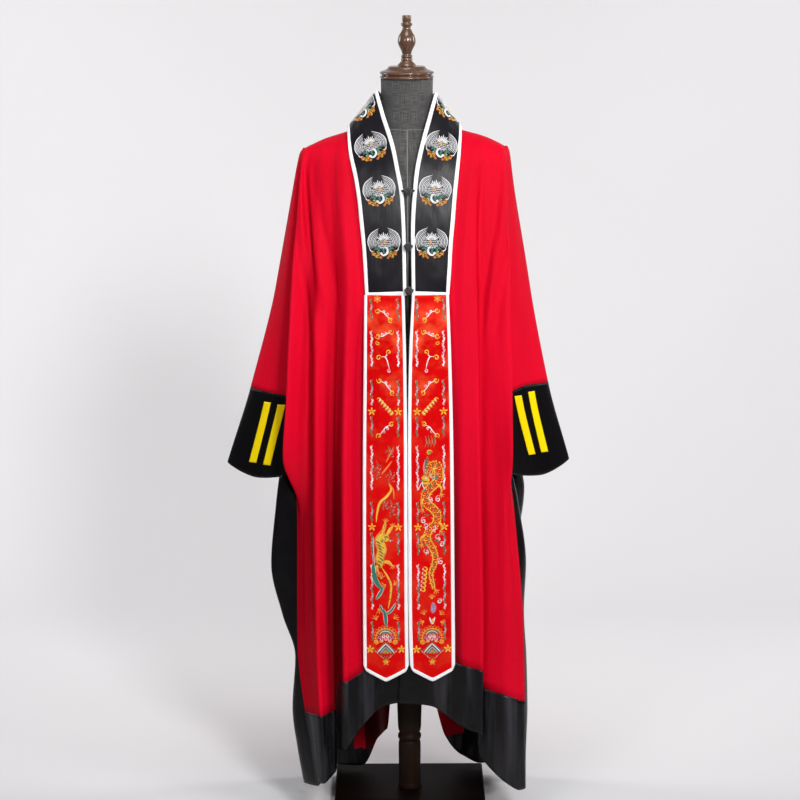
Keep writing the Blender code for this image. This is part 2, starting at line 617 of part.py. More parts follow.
def make_side_border(name, folds, lines, back):
    """A border that hangs from below the sleeve's mouth, folded back on itself."""
    def surface(u, drop):
        height = BORDER_TOP_SEAM - drop
        points = [fold_point(folds[-2], height, back), fold_point(folds[-1], height, back)]
        points += [border_point(line, height) for line in lines]
        return along_spline(points, u + 1)

    tops = [height / 1000.0 for height in BORDER_TOPS]
    hems = [folds[-1].hem / 1000.0] + [line.hem / 1000.0 for line in lines]
    knots = list(range(len(tops)))
    places = []
    for share in BORDER_ROWS:
        row = []
        for u in spread(0, knots[-1], SIDE_BORDER_COLUMNS):
            top = read_smooth(knots, tops, u)
            bottom = read_smooth(knots, hems, u)
            row.append((u, BORDER_TOP_SEAM - top - (bottom - top) * share))
        places.append(row)
    cloth_wall(name, surface, places, CLOTH, BLACK_SATIN, side_gap=SEAM_GAP if back else BORDER_GAP)


# Bars on a cuff: face, place round the sleeve at the bar's upper end and at its lower end
BAR_PLACES = (("front_1", 1.08, 1.18), ("front_2", 0.60, 0.80),
              ("back_1", 2.92, 2.82), ("back_2", 3.40, 3.20))


def make_bars(side, surface, seam_drop):
    """Yellow bars on the cuff, made from its points moved out."""
    fold = 2.0
    outward = surface_normal(surface, fold, seam_drop(fold)).x * surface(fold, seam_drop(fold)).x
    lift = math.copysign(CLOTH / 2 + BAR_WALL / 2 + BAR_CLEARANCE, outward)
    for label, upper, lower in BAR_PLACES:
        places = []
        for share in spread(0.0, 1.0, BAR_POINTS):
            middle = upper + (lower - upper) * share
            drop = seam_drop(middle) + BAR_DROP + BAR_LENGTH * share
            reach = (surface(middle + 0.05, drop) - surface(middle - 0.05, drop)).length / 0.1
            half = BAR_WIDTH / 2 / reach
            places.append([(u, drop) for u in spread(middle - half, middle + half, BAR_POINTS)])
        cloth_wall("cuff_bar_" + side + "_" + label, surface, places, BAR_WALL, YELLOW_SATIN,
                   0.0, 0.0, lift)


def collar_surface(stations):
    inner_edge = []
    outer_edge = []
    next_one = stations[1]
    past_centre = CollarStation("past the centre", (-next_one.inner[0],) + next_one.inner[1:],
                                (-next_one.outer[0],) + next_one.outer[1:])
    for station in (past_centre,) + tuple(stations):
        for edge, place in ((inner_edge, station.inner), (outer_edge, station.outer)):
            x, y, z = place
            if y is None:
                y = (drape_depth(x / 1000.0, z / 1000.0) - COLLAR_LIFT) * 1000.0
            edge.append(millimetres((x, y, z)))

    def surface(u, v):
        """u runs from the opening (0) to the outer edge (1), v from the centre back."""
        inner = along_spline(inner_edge, v + 1)
        outer = along_spline(outer_edge, v + 1)
        flat = inner.lerp(outer, u)
        on_drape = drape_depth(flat.x, flat.z) - COLLAR_LIFT
        share = min(max(v - FRONT_OF_SHOULDER, 0.0) / ONTO_CHEST, 1.0)
        return Vector((flat.x, flat.y + (min(on_drape, flat.y) - flat.y) * share, flat.z))
    return surface


def make_collar(side, stations):
    surface = collar_surface(stations)
    last = len(stations) - 1
    width = (surface(1.0, last) - surface(0.0, last)).length
    edge = PIPING_WIDTH / width
    foot = PIPING_WIDTH / (surface(0.5, last - 1) - surface(0.5, last)).length
    levels = spread(0.0, last, COLLAR_ROWS)
    places = [[(u, min(v, last - foot)) for u in spread(edge, 1.0 - edge, STRIP_COLUMNS)] for v in levels]
    cloth_wall("collar_" + side, surface, places, BAND, BLACK_SATIN)
    outline = []
    for v in levels:
        outline.append(((1.0, v), (1.0 - edge, min(v, last - foot))))
    for u in spread(0.8, 0.2, 4):
        outline.append(((u, last), (u, last - foot)))
    for v in levels[::-1]:
        outline.append(((0.0, v), (edge, min(v, last - foot))))
    cloth_wall("collar_piping_" + side, surface, outline, PIPING, WHITE_PIPING, side_gap=SIDE_GAP)


def ribbon_surface(table):
    rows = table[::-1]
    heights = [row[0] / 1000.0 for row in rows]
    near = [row[1] / 1000.0 for row in rows]
    far = [row[2] / 1000.0 for row in rows]

    def surface(u, height):
        """u runs from the side near the centre (0) to the far side (1)."""
        inner = read_smooth(heights, near, height)
        outer = read_smooth(heights, far, height)
        x = inner + (outer - inner) * u
        hang = min(max(COLLAR_BOTTOM - height, 0.0) / RIBBON_START, 1.0)
        hang = hang * hang * (3.0 - 2.0 * hang)
        lift = COLLAR_LIFT + (RIBBON_LIFT - COLLAR_LIFT + RIBBON_BOW * math.sin(math.pi * u)) * hang
        return Vector((x, drape_depth(x, height) - lift, height))
    return surface


def make_ribbon(side, table):
    surface = ribbon_surface(table)
    width = (surface(1.0, RIBBON_CORNER) - surface(0.0, RIBBON_CORNER)).length
    edge = PIPING_WIDTH / width
    top = COLLAR_BOTTOM + SIDE_GAP / 2 - SEAM_GAP

    def foot(u, raised=0.0):
        tip = 1.0 - abs(2.0 * u - 1.0)
        return RIBBON_CORNER + (RIBBON_TIP - RIBBON_CORNER) * tip + raised

    slant = PIPING_WIDTH / math.cos(math.atan2(RIBBON_CORNER - RIBBON_TIP, width / 2))
    places = []
    shares = spread(0.0, 1.0, RIBBON_ROWS)
    for share in shares:
        places.append([(u, top + (foot(u, slant) - top) * share)
                       for u in spread(edge, 1.0 - edge, STRIP_COLUMNS)])
    cloth_wall("ribbon_" + side, surface, places, BAND, RED_SATIN)
    outline = []
    for share in shares:
        outline.append(((0.0, top + (foot(0.0) - top) * share),
                        (edge, top + (foot(edge, slant) - top) * share)))
    for u in (0.25, 0.5, 0.75):
        outline.append(((u, foot(u)), (u, foot(u, slant))))
    for share in shares[::-1]:
        outline.append(((1.0, top + (foot(1.0) - top) * share),
                        (1.0 - edge, top + (foot(1.0 - edge, slant) - top) * share)))
    cloth_wall("ribbon_piping_" + side, surface, outline, PIPING, WHITE_PIPING)


def place_in_object(made, recipe):
    made.data.materials.append(material(recipe))
    for old in list(made.users_collection):
        old.objects.unlink(made)
    collection(OBJECT_NAME).objects.link(made)


def band_edge(surface, height):
    """Place across of a collar band's inner edge at a height."""
    low, high = 0.0, len(COLLAR_LEFT) - 1.0
    while high - low > 0.001:
        middle = (low + high) / 2
        if surface(0.0, middle).z > height:
            low = middle
        else:
            high = middle
    return surface(0.0, low).x


def make_button(number, height):
    """A knot of black cord, on the cord loop that joins the two bands."""
    left = band_edge(collar_surface(COLLAR_LEFT), height)
    right = band_edge(collar_surface(COLLAR_RIGHT), height)
    middle = (left + right) / 2
    reach = drape_depth(0.0, height) - COLLAR_LIFT - PIPING / 2 - SEAM_GAP - CORD_RADIUS
    bpy.ops.mesh.primitive_cylinder_add(vertices=10, radius=CORD_RADIUS,
                                        depth=right - left + 2 * CORD_REACH,
                                        location=(middle, reach, height),
                                        rotation=(0.0, math.pi / 2, 0.0))
    cord = bpy.context.object
    cord.name = "button_loop_%d" % number
    place_in_object(cord, BLACK_SATIN)
    reach -= CORD_RADIUS + SEAM_GAP + BUTTON_RADIUS
    bpy.ops.mesh.primitive_uv_sphere_add(segments=12, ring_count=8, radius=BUTTON_RADIUS,
                                         location=(middle, reach, height))
    knot = bpy.context.object
    knot.name = "button_knot_%d" % number
    knot.data.shade_smooth()
    place_in_object(knot, BLACK_SATIN)


def ring_reach(angle, half, depth):
    """Distance from the middle of an ellipse to its edge at an angle."""
    return 1.0 / math.hypot(math.cos(angle) / half, math.sin(angle) / depth)


def make_torso():
    mesh = bpy.data.meshes.new("torso")
    shape = bmesh.new()
    rings = []
    for height, half, front, back, ridge_half, ridge_depth in TORSO_RINGS:
        ring = []
        for step in range(TORSO_SEGMENTS):
            angle = math.tau * step / TORSO_SEGMENTS
            depth = back if math.sin(angle) > 0 else front
            reach = max(ring_reach(angle, half, depth), ring_reach(angle, ridge_half, ridge_depth))
            ring.append(shape.verts.new((reach * math.cos(angle), reach * math.sin(angle), height)))
        rings.append(ring)
    for upper, lower in zip(rings, rings[1:]):
        for step in range(TORSO_SEGMENTS):
            after = (step + 1) % TORSO_SEGMENTS
            shape.faces.new((upper[step], lower[step], lower[after], upper[after]))
    shape.faces.new(rings[0])
    shape.faces.new(rings[-1])
    bmesh.ops.recalc_face_normals(shape, faces=shape.faces)
    shape.to_mesh(mesh)
    shape.free()
    return add_object("torso", mesh, LINEN)


def make_turned(name, profile, foot, recipe):
    mesh = bpy.data.meshes.new(name)
    shape = bmesh.new()
    corners = [shape.verts.new((radius / 1000.0, 0.0, height / 1000.0)) for height, radius in profile]
    for first, second in zip(corners, corners[1:]):
        shape.edges.new((first, second))
    shape.to_mesh(mesh)
    shape.free()
    made = add_object(name, mesh, recipe, smooth=False)
    made.location.z = foot
    turn = made.modifiers.new("turn", "SCREW")
    turn.steps = TURNED_SEGMENTS
    turn.render_steps = TURNED_SEGMENTS
    turn.use_merge_vertices = True
    turn.merge_threshold = 0.0001
    turn.use_smooth_shade = True
    return made


def make_base():
    bpy.ops.mesh.primitive_cube_add(size=1.0, location=(0.0, 0.0, BASE_HEIGHT / 2))
    base = bpy.context.object
    base.name = "base_plate"
    base.data.name = "base_plate"
    for corner in base.data.vertices:
        corner.co.x *= BASE_SIDE
        corner.co.y *= BASE_SIDE
        corner.co.z *= BASE_HEIGHT
    place_in_object(base, DARK_WOOD)
    rounding = base.modifiers.new("rounding", "BEVEL")
    rounding.width = BASE_ROUNDING
    rounding.segments = 2
    rounding.limit_method = "ANGLE"
    return base


def make_dress_form():
    make_base()
    make_turned("pole", POLE_PROFILE, BASE_HEIGHT + SEAM_GAP, DARK_WOOD)
    make_torso()
    make_turned("neck_cap", CAP_PROFILE, CAP_BOTTOM, WOOD)
    make_turned("finial", FINIAL_PROFILE, CAP_BOTTOM + CAP_PROFILE[0][0] / 1000.0 + SEAM_GAP, WOOD)


clear_scene()
make_dress_form()
make_side("left", FRONT_LEFT, BACK_LEFT, SLEEVE_LEFT, BORDER_FRONT_LEFT, BORDER_BACK_LEFT)
make_side("right", FRONT_RIGHT, BACK_RIGHT, SLEEVE_RIGHT, BORDER_FRONT_RIGHT, BORDER_BACK_RIGHT)
make_collar("left", COLLAR_LEFT)
make_collar("right", COLLAR_RIGHT)
make_ribbon("left", RIBBON_LEFT)
make_ribbon("right", RIBBON_RIGHT)
for number, button_height in enumerate(BUTTON_HEIGHTS, start=1):
    make_button(number, button_height)
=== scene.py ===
"""Looks of the taoist robe set on its dress form: a red robe with black satin borders,
a black collar band with white piping, and two embroidered ribbons. Metres, +Z up, front on -Y."""

import math
from collections import namedtuple
from functools import partial

import bmesh
import bpy
import numpy as np
from mathutils import Euler, Matrix, Vector


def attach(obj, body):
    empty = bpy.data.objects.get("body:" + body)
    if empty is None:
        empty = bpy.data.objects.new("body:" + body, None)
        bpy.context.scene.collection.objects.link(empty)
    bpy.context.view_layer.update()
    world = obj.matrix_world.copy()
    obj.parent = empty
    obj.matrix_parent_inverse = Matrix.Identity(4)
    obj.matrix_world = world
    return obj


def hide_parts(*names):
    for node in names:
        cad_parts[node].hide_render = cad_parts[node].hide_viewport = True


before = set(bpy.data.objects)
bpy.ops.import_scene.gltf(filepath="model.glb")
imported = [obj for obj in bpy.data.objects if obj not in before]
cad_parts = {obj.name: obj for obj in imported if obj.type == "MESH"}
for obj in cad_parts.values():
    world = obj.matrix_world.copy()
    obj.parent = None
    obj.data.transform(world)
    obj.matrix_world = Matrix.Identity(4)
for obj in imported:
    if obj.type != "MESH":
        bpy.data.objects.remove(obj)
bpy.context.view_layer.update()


class Wire:
    """A socket that can be written into a sum, so that shader maths reads as maths."""

    def __init__(self, finish, socket):
        self.finish = finish
        self.socket = socket

    def __add__(self, other):
        return self.finish.maths("ADD", self, other)

    def __sub__(self, other):
        return self.finish.maths("SUBTRACT", self, other)

    def __rsub__(self, other):
        return self.finish.maths("SUBTRACT", other, self)

    def __mul__(self, other):
        return self.finish.maths("MULTIPLY", self, other)

    def __gt__(self, other):
        return self.finish.maths("GREATER_THAN", self, other)


class Finish:
    """A material with a Principled shader, and the nodes that vary it over a surface."""

    def __init__(self, name, colour, roughness, constants=None):
        self.material = bpy.data.materials.new(name)
        self.material.use_nodes = True
        self.tree = self.material.node_tree
        self.shader = self.tree.nodes["Principled BSDF"]
        self.shader.inputs["Base Color"].default_value = (*colour, 1.0)
        self.shader.inputs["Roughness"].default_value = roughness
        for socket, value in (constants or {}).items():
            self.shader.inputs[socket].default_value = value

    def node(self, kind, settings=None, sockets=None):
        made = self.tree.nodes.new(kind)
        for setting, value in (settings or {}).items():
            if setting == "stops":
                stops = made.color_ramp.elements
                while len(stops) < len(value):
                    stops.new(0.5)
                for stop, (position, colour) in zip(stops, value):
                    stop.position = position
                    stop.color = (*colour, 1.0)
            else:
                setattr(made, setting, value)
        for socket, value in (sockets or {}).items():
            if isinstance(value, Wire):
                self.tree.links.new(value.socket, made.inputs[socket])
            else:
                made.inputs[socket].default_value = value
        return made

    def maths(self, operation, first, second=0.0, third=0.0):
        made = self.node("ShaderNodeMath", {"operation": operation}, {0: first, 1: second, 2: third})
        return Wire(self, made.outputs[0])

    def along(self, name):
        """One of the directions of the piece's own map: metres across or metres down."""
        place = self.node("ShaderNodeUVMap")
        split = self.node("ShaderNodeSeparateXYZ", sockets={0: Wire(self, place.outputs[0])})
        return Wire(self, split.outputs[name])

    def ribs(self, name, width):
        """Threads or ribs of a width, side by side along one of the map's directions."""
        return self.maths("SINE", self.along(name) * (math.tau / width))

    def weave(self, width):
        """Threads of a width that cross over and under each other."""
        return self.ribs("X", width) * self.ribs("Y", width)

    def stretched(self, source, scale):
        """Places on the piece, from its map or from the object, scaled unevenly."""
        kind, output = ("ShaderNodeUVMap", 0) if source == "map" else ("ShaderNodeTexCoord", "Object")
        place = self.node(kind)
        made = self.node("ShaderNodeMapping", sockets={"Vector": Wire(self, place.outputs[output]),
                                                       "Scale": scale})
        return Wire(self, made.outputs[0])

    def noise(self, places, scale, detail=2.0, roughness=0.5):
        made = self.node("ShaderNodeTexNoise",
                         sockets={"Vector": places, "Scale": scale, "Detail": detail, "Roughness": roughness})
        return Wire(self, made.outputs[0])

    def ramp(self, factor, stops):
        made = self.node("ShaderNodeValToRGB", {"stops": stops}, {0: factor})
        return Wire(self, made.outputs[0])

    def mix(self, factor, first, second):
        made = self.node("ShaderNodeMix", {"data_type": "RGBA"})
        for socket, value in ((0, factor), (6, first), (7, second)):
            if isinstance(value, Wire):
                self.tree.links.new(value.socket, made.inputs[socket])
            else:
                made.inputs[socket].default_value = value if socket == 0 else (*value, 1.0)
        return Wire(self, made.outputs[2])

    def feed(self, socket, wire):
        self.tree.links.new(wire.socket, self.shader.inputs[socket])

    def bump(self, height, distance, strength=1.0):
        made = self.node("ShaderNodeBump",
                         sockets={"Height": height, "Distance": distance, "Strength": strength})
        self.feed("Normal", Wire(self, made.outputs[0]))


def wood_finish(name, dark, light, roughness, coat, gloss=0.4):
    """Stained wood: grain drawn out along Z, fine pores, and a lacquer that pools unevenly."""
    finish = Finish(name, dark, roughness, {"Coat Weight": coat, "Coat Roughness": 0.12,
                                            "Specular IOR Level": gloss})
    grain = finish.noise(finish.stretched("object", (26.0, 26.0, 2.2)), 4.0, 6.0, 0.62)
    pores = finish.noise(finish.stretched("object", (420.0, 420.0, 16.0)), 3.0, 2.0)
    tone = grain * 0.75 + pores * 0.25
    finish.feed("Base Color", finish.mix(finish.maths("SMOOTH_MIN", tone, 1.0, 0.2), dark, light))
    finish.feed("Roughness", grain * 0.16 + (roughness - 0.08))
    finish.bump(pores * 0.4 + grain * 0.6, 0.0003, 0.35)
    return finish.material


def grid_faces(rows, columns, closed=False):
    """Faces over a grid of points, round the grid too where its last column meets its first."""
    last = columns if closed else columns - 1
    return [(i * columns + j, (i + 1) * columns + j,
             (i + 1) * columns + (j + 1) % columns, i * columns + (j + 1) % columns)
            for i in range(rows - 1) for j in range(last)]


def tube_faces(rows, columns, ends=-1):
    """Faces of a tube of rings, closed at both ends; ends says which way round the ends are."""
    first = tuple(range(columns))
    last = tuple(range((rows - 1) * columns, rows * columns))
    return grid_faces(rows, columns, closed=True) + [first[::ends], last[::-ends]]


def mesh_piece(name, vertices, faces, material):
    mesh = bpy.data.meshes.new(name)
    mesh.from_pydata([tuple(v) for v in vertices], [], faces)
    mesh.update()
    made = bpy.data.objects.new(name, mesh)
    bpy.context.scene.collection.objects.link(made)
    mesh.materials.append(material)
    mesh.shade_smooth()
    return made


def in_place_of(made, *nodes):
    """The piece rides on the one body, and takes the place of these nodes of the frame."""
    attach(made, "root")
    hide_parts(*nodes)


def spline(before, here, there, after, share):
    """Points of a smooth curve between here and there, spaced by the chords."""
    def reach(first, second):
        return np.maximum(np.linalg.norm(second - first, axis=-1, keepdims=True), 1e-6) ** 0.5

    one = reach(before, here)
    two = one + reach(here, there)
    three = two + reach(there, after)
    at = one + share * (two - one)

    def mix(first, second, low, high):
        return first * ((high - at) / (high - low)) + second * ((at - low) / (high - low))

    left = mix(before, here, 0.0, one)
    middle = mix(here, there, one, two)
    right = mix(there, after, two, three)
    return mix(mix(left, middle, 0.0, two), mix(middle, right, one, three), one, two)


def through(points, at):
    """Reads a smooth curve through points at many places, a whole number on each of them."""
    points = np.asarray(points, float)
    at = np.asarray(at, float)
    last = len(points) - 1
    index = np.clip(np.floor(at).astype(int), 0, last - 1)
    padded = np.concatenate(([2 * points[0] - points[1]], points, [2 * points[last] - points[last - 1]]))
    share = (at - index)[..., None]
    return spline(padded[index], padded[index + 1], padded[index + 2], padded[index + 3], share)


TURNED_SIDES = 96
TURNED_FINENESS = 6       # rings to each point of a profile


def turned(name, profile, foot, material, node):
    """A lathe-turned piece, its profile rounded through its points between the sharp ends."""
    outline = np.array([(radius, height) for height, radius in profile[1:-1]]) / 1000.0
    smooth = through(outline, np.linspace(0, len(outline) - 1, TURNED_FINENESS * len(outline)))
    smooth[:, 0] = np.maximum(smooth[:, 0], 0.0)
    turns = np.linspace(0.0, math.tau, TURNED_SIDES, endpoint=False)
    vertices = [(r * math.cos(a), r * math.sin(a), foot + z) for r, z in smooth for a in turns]
    made = mesh_piece(name, vertices, tube_faces(len(smooth), TURNED_SIDES, 1), material)
    made.data.set_sharp_from_angle(angle=math.radians(40))
    in_place_of(made, node)


# Base plate and pole of the dress form: dark stained hardwood under a satin lacquer,
# the base a square slab with softened edges, the pole turned with a ring near its foot.
BASE_SIDE = 0.330
BASE_HEIGHT = 0.028
BASE_ROUNDING = 0.004
POLE_FOOT = 0.0283
POLE_PROFILE = (
    (783.3, 0.0), (783.3, 24.5), (130.0, 24.5), (127.5, 23.0), (124.0, 22.6), (121.0, 24.6), (118.0, 25.6),
    (114.0, 25.6), (111.0, 24.6), (108.0, 22.8), (105.0, 23.4), (102.0, 24.2), (12.0, 24.2), (6.0, 25.4),
    (0.0, 25.6), (0.0, 0.0),
)
stand_wood = wood_finish("stand_wood", (0.0070, 0.0034, 0.0022), (0.0220, 0.0105, 0.0063), 0.46, 0.0, 0.08)
turned("stand_pole", POLE_PROFILE, POLE_FOOT, stand_wood, "pole")
bpy.ops.mesh.primitive_cube_add(size=1.0, location=(0.0, 0.0, BASE_HEIGHT / 2))
base = bpy.context.object
base.name = "stand_base"
for corner in base.data.vertices:
    corner.co *= Vector((BASE_SIDE, BASE_SIDE, BASE_HEIGHT))
edge_rounding = base.modifiers.new("rounding", "BEVEL")
edge_rounding.width = BASE_ROUNDING
edge_rounding.segments = 4
base_wood = wood_finish("base_wood", (0.0026, 0.0013, 0.0009), (0.0075, 0.0037, 0.0025), 0.55, 0.0, 0.02)
base.data.materials.append(base_wood)
base.data.shade_smooth()
base.data.set_sharp_from_angle(angle=math.radians(50))
in_place_of(base, "base_plate")


# Neck cap and finial: turned from brown stained wood, glossy, the cap a moulded disc pinned
# on the form's neck and the finial a spindle on top of it.
CAP_BOTTOM = 1.592
CAP_PROFILE = (
    (26.0, 0.0), (26.0, 37.0), (24.5, 39.5), (22.0, 41.0), (18.5, 46.0), (16.0, 53.0), (14.0, 57.0),
    (12.0, 57.6), (10.0, 56.6), (9.0, 54.0), (7.6, 53.4), (6.4, 55.4), (4.4, 57.2), (2.2, 57.0),
    (0.6, 55.4), (0.0, 54.0), (0.0, 0.0),
)
FINIAL_FOOT = 1.6183
FINIAL_PROFILE = (
    (106.5, 0.0), (106.5, 8.0), (105.0, 9.4), (94.5, 9.4), (93.0, 8.6), (91.5, 9.0), (90.0, 11.6),
    (87.5, 12.2), (85.0, 11.4), (83.0, 9.2), (79.0, 9.0), (72.0, 12.0), (63.0, 17.0), (54.0, 19.0),
    (46.0, 18.2), (38.0, 14.6), (30.0, 10.8), (24.0, 9.8), (22.0, 11.8), (19.5, 12.2), (17.5, 10.8),
    (15.5, 12.0), (13.0, 12.4), (11.0, 11.6), (8.0, 14.0), (4.0, 18.0), (1.5, 19.6), (0.0, 19.0), (0.0, 0.0),
)
turned_wood = wood_finish("turned_wood", (0.050, 0.021, 0.011), (0.150, 0.076, 0.043), 0.26, 0.5)
turned("form_neck_cap", CAP_PROFILE, CAP_BOTTOM, turned_wood, "neck_cap")
turned("form_finial", FINIAL_PROFILE, FINIAL_FOOT, turned_wood, "finial")


# Torso of the dress form: a foam body under a cover of coarse grey linen, sewn with a
# seam round the foot of the neck and one down the middle of the chest.
TORSO_SIDES = 120
TORSO_ROWS = 190
NECK_SEAM = 1.488
TORSO_MAP_RADIUS = 0.09   # the radius at which the map of the cover is true
SEAM_REACH = 0.0016       # the groove of a seam spreads so far
SEAM_DEPTH = 0.0006
CHEST_THREAD = 0.0011     # half the width of the paler line along each seam
NECK_THREAD = 0.0010
LINEN_THREAD = 0.0011
# Rings of the torso (mm): height, half its width, its depth to the chest and to the back, and
# half the width and the depth of the ridge that the shoulders add
TORSO_RINGS = (
    (1591.7, 55.5, 55.5, 55.5, 10, 10), (1560, 55, 55, 55, 10, 10), (1530, 55.5, 56, 56, 10, 10),
    (1506, 59, 59, 59, 60, 30), (1488, 62, 60, 61, 79, 32), (1479.2, 68, 61, 63, 114, 32),
    (1473.4, 76, 63, 66, 140, 36), (1466.4, 88, 66, 72, 162, 42), (1459.2, 104, 69, 77, 181, 46),
    (1450, 124, 72, 82, 196, 50), (1440, 144, 76, 86, 201, 56), (1420, 176, 84, 92, 204, 64),
    (1380, 200, 95, 101, 10, 10), (1320, 196, 111, 112, 10, 10), (1240, 184, 118, 114, 10, 10),
    (1150, 164, 114, 104, 10, 10), (1060, 144, 104, 92, 10, 10), (970, 154, 104, 96, 10, 10),
    (890, 168, 108, 104, 10, 10), (830, 168, 108, 104, 10, 10), (812, 156, 98, 94, 10, 10),
)


def read_smooth(knots, values, at):
    """Reads a smooth curve that never overshoots, straight past its ends."""
    knots = np.asarray(knots, float)
    values = np.asarray(values, float)
    at = np.asarray(at, float)
    rates = np.diff(values) / np.diff(knots)
    before, after = rates[:-1], rates[1:]
    turning = before * after <= 0
    inner = np.where(turning, 0.0, 2.0 * before * after / np.where(turning, 1.0, before + after))
    slopes = np.concatenate((rates[:1], inner, rates[-1:]))
    index = np.clip(np.searchsorted(knots, at, side="right") - 1, 0, len(knots) - 2)
    span = knots[index + 1] - knots[index]
    t = (at - knots[index]) / span
    curve = (values[index] * (1 + 2 * t) * (1 - t) ** 2 + slopes[index] * span * t * (1 - t) ** 2
             + values[index + 1] * t * t * (3 - 2 * t) + slopes[index + 1] * span * t * t * (t - 1))
    curve = np.where(at < knots[0], values[0] + slopes[0] * (at - knots[0]), curve)
    return np.where(at > knots[-1], values[-1] + slopes[-1] * (at - knots[-1]), curve)


def lay_map(made, across, down):
    """Gives a piece its map: metres across and metres down, one pair for each of its points."""
    flat = np.stack(np.broadcast_arrays(across, down), axis=-1).reshape(-1, 2)
    layer = made.data.uv_layers.new(name="cloth")
    corners = np.empty(len(made.data.loops), dtype=np.int32)
    made.data.loops.foreach_get("vertex_index", corners)
    layer.data.foreach_set("uv", flat[corners].ravel())


def linen_finish():
    """Grey linen: a plain weave of uneven slubbed threads, heathered light and dark."""
    finish = Finish("grey_linen", (0.060, 0.058, 0.057), 0.9, {"Sheen Weight": 0.12})
    across = finish.along("X")
    down = finish.along("Y")
    weft = finish.noise(finish.stretched("map", (30.0, 900.0, 1.0)), 1.0, 3.0)
    warp = finish.noise(finish.stretched("map", (900.0, 30.0, 1.0)), 1.0, 3.0)
    thread = weft * 0.5 + warp * 0.5
    cloth = finish.ramp(thread, ((0.36, (0.022, 0.021, 0.021)), (0.50, (0.058, 0.056, 0.055)),
                                 (0.66, (0.130, 0.127, 0.124))))
    off_middle = finish.maths("ABSOLUTE", across - 1.5 * math.pi * TORSO_MAP_RADIUS)
    on_seam = (CHEST_THREAD - off_middle > 0.0) * (NECK_SEAM - down > 0.0)
    off_neck = finish.maths("ABSOLUTE", down - NECK_SEAM)
    on_neck = (NECK_THREAD - off_neck > 0.0) * 0.5
    on_either = finish.maths("MAXIMUM", on_seam, on_neck)
    finish.feed("Base Color", finish.mix(on_either, cloth, (0.20, 0.196, 0.190)))
    finish.bump(finish.weave(LINEN_THREAD) * 0.25 + thread, 0.0005, 0.6)
    return finish.material


ring_heights, *ring_sizes = np.array(TORSO_RINGS)[::-1].T / 1000.0
heights = np.linspace(ring_heights[-1], ring_heights[0], TORSO_ROWS)[:, None]
half, chest, back, ridge_half, ridge_depth = (read_smooth(ring_heights, sizes, heights)
                                              for sizes in ring_sizes)
angles = np.linspace(0.0, math.tau, TORSO_SIDES, endpoint=False)[None, :]
depth = np.where(np.sin(angles) > 0, back, chest)
body = 1.0 / np.hypot(np.cos(angles) / half, np.sin(angles) / depth)
ridge = 1.0 / np.hypot(np.cos(angles) / ridge_half, np.sin(angles) / ridge_depth)
reach = (body ** 8 + ridge ** 8) ** 0.125
seam_round = np.exp(-((heights - NECK_SEAM) / SEAM_REACH) ** 2)
from_middle = (angles - 1.5 * math.pi) * reach
seam_down = np.exp(-(from_middle / SEAM_REACH) ** 2) * (heights < NECK_SEAM)
reach = reach - SEAM_DEPTH * np.maximum(seam_round, seam_down)
points = np.stack(np.broadcast_arrays(reach * np.cos(angles), reach * np.sin(angles), heights), -1)
faces = [face[::-1] for face in tube_faces(TORSO_ROWS, TORSO_SIDES)]
torso = mesh_piece("form_torso", points.reshape(-1, 3), faces, linen_finish())
lay_map(torso, angles * TORSO_MAP_RADIUS, heights)
in_place_of(torso, "torso")


# Red body of the robe: front and back cut as four panels of plain-woven polyester, sewn over
# the shoulders and down the centre back, hanging in soft folds from the shoulders.
CLOTH = 0.0011            # what shows of the cloth's thickness at its edges
CLOTH_THREAD = 0.0007
PANEL_COLUMNS = 132
PANEL_ROWS = 112
SHOULDER_ROLL = 0.060
# The drape before its folds: height, how far the front and the back stand out at the middle
# (m), and how much both round away to the sides
DRAPE = (
    (1.500, 0.060, 0.072, 1.30),
    (1.460, 0.085, 0.092, 1.30),
    (1.410, 0.104, 0.110, 1.30),
    (1.366, 0.114, 0.119, 1.30),
    (1.300, 0.126, 0.127, 1.25),
    (1.235, 0.134, 0.130, 1.20),
    (1.150, 0.142, 0.130, 1.20),
    (0.930, 0.148, 0.130, 1.00),
    (0.680, 0.150, 0.135, 0.70),
    (0.400, 0.154, 0.142, 0.50),
    (0.100, 0.157, 0.150, 0.40),
    (0.000, 0.158, 0.152, 0.38),
)
DRAPE_HEIGHTS, FRONT_REACH, BACK_REACH, DRAPE_ROUNDING = np.array(DRAPE)[::-1].T

# Each fold line runs down from its top point. At each of these heights it has a pair:
# its place across, and how far it stands out of the drape (mm). Then come the height
# of the seam with the hem border and the height of the hem (mm).
HEIGHTS = (1.440, 1.380, 1.150, 0.930, 0.800, 0.680, 0.400, 0.100)
Fold = namedtuple("Fold", "name top path seam hem")

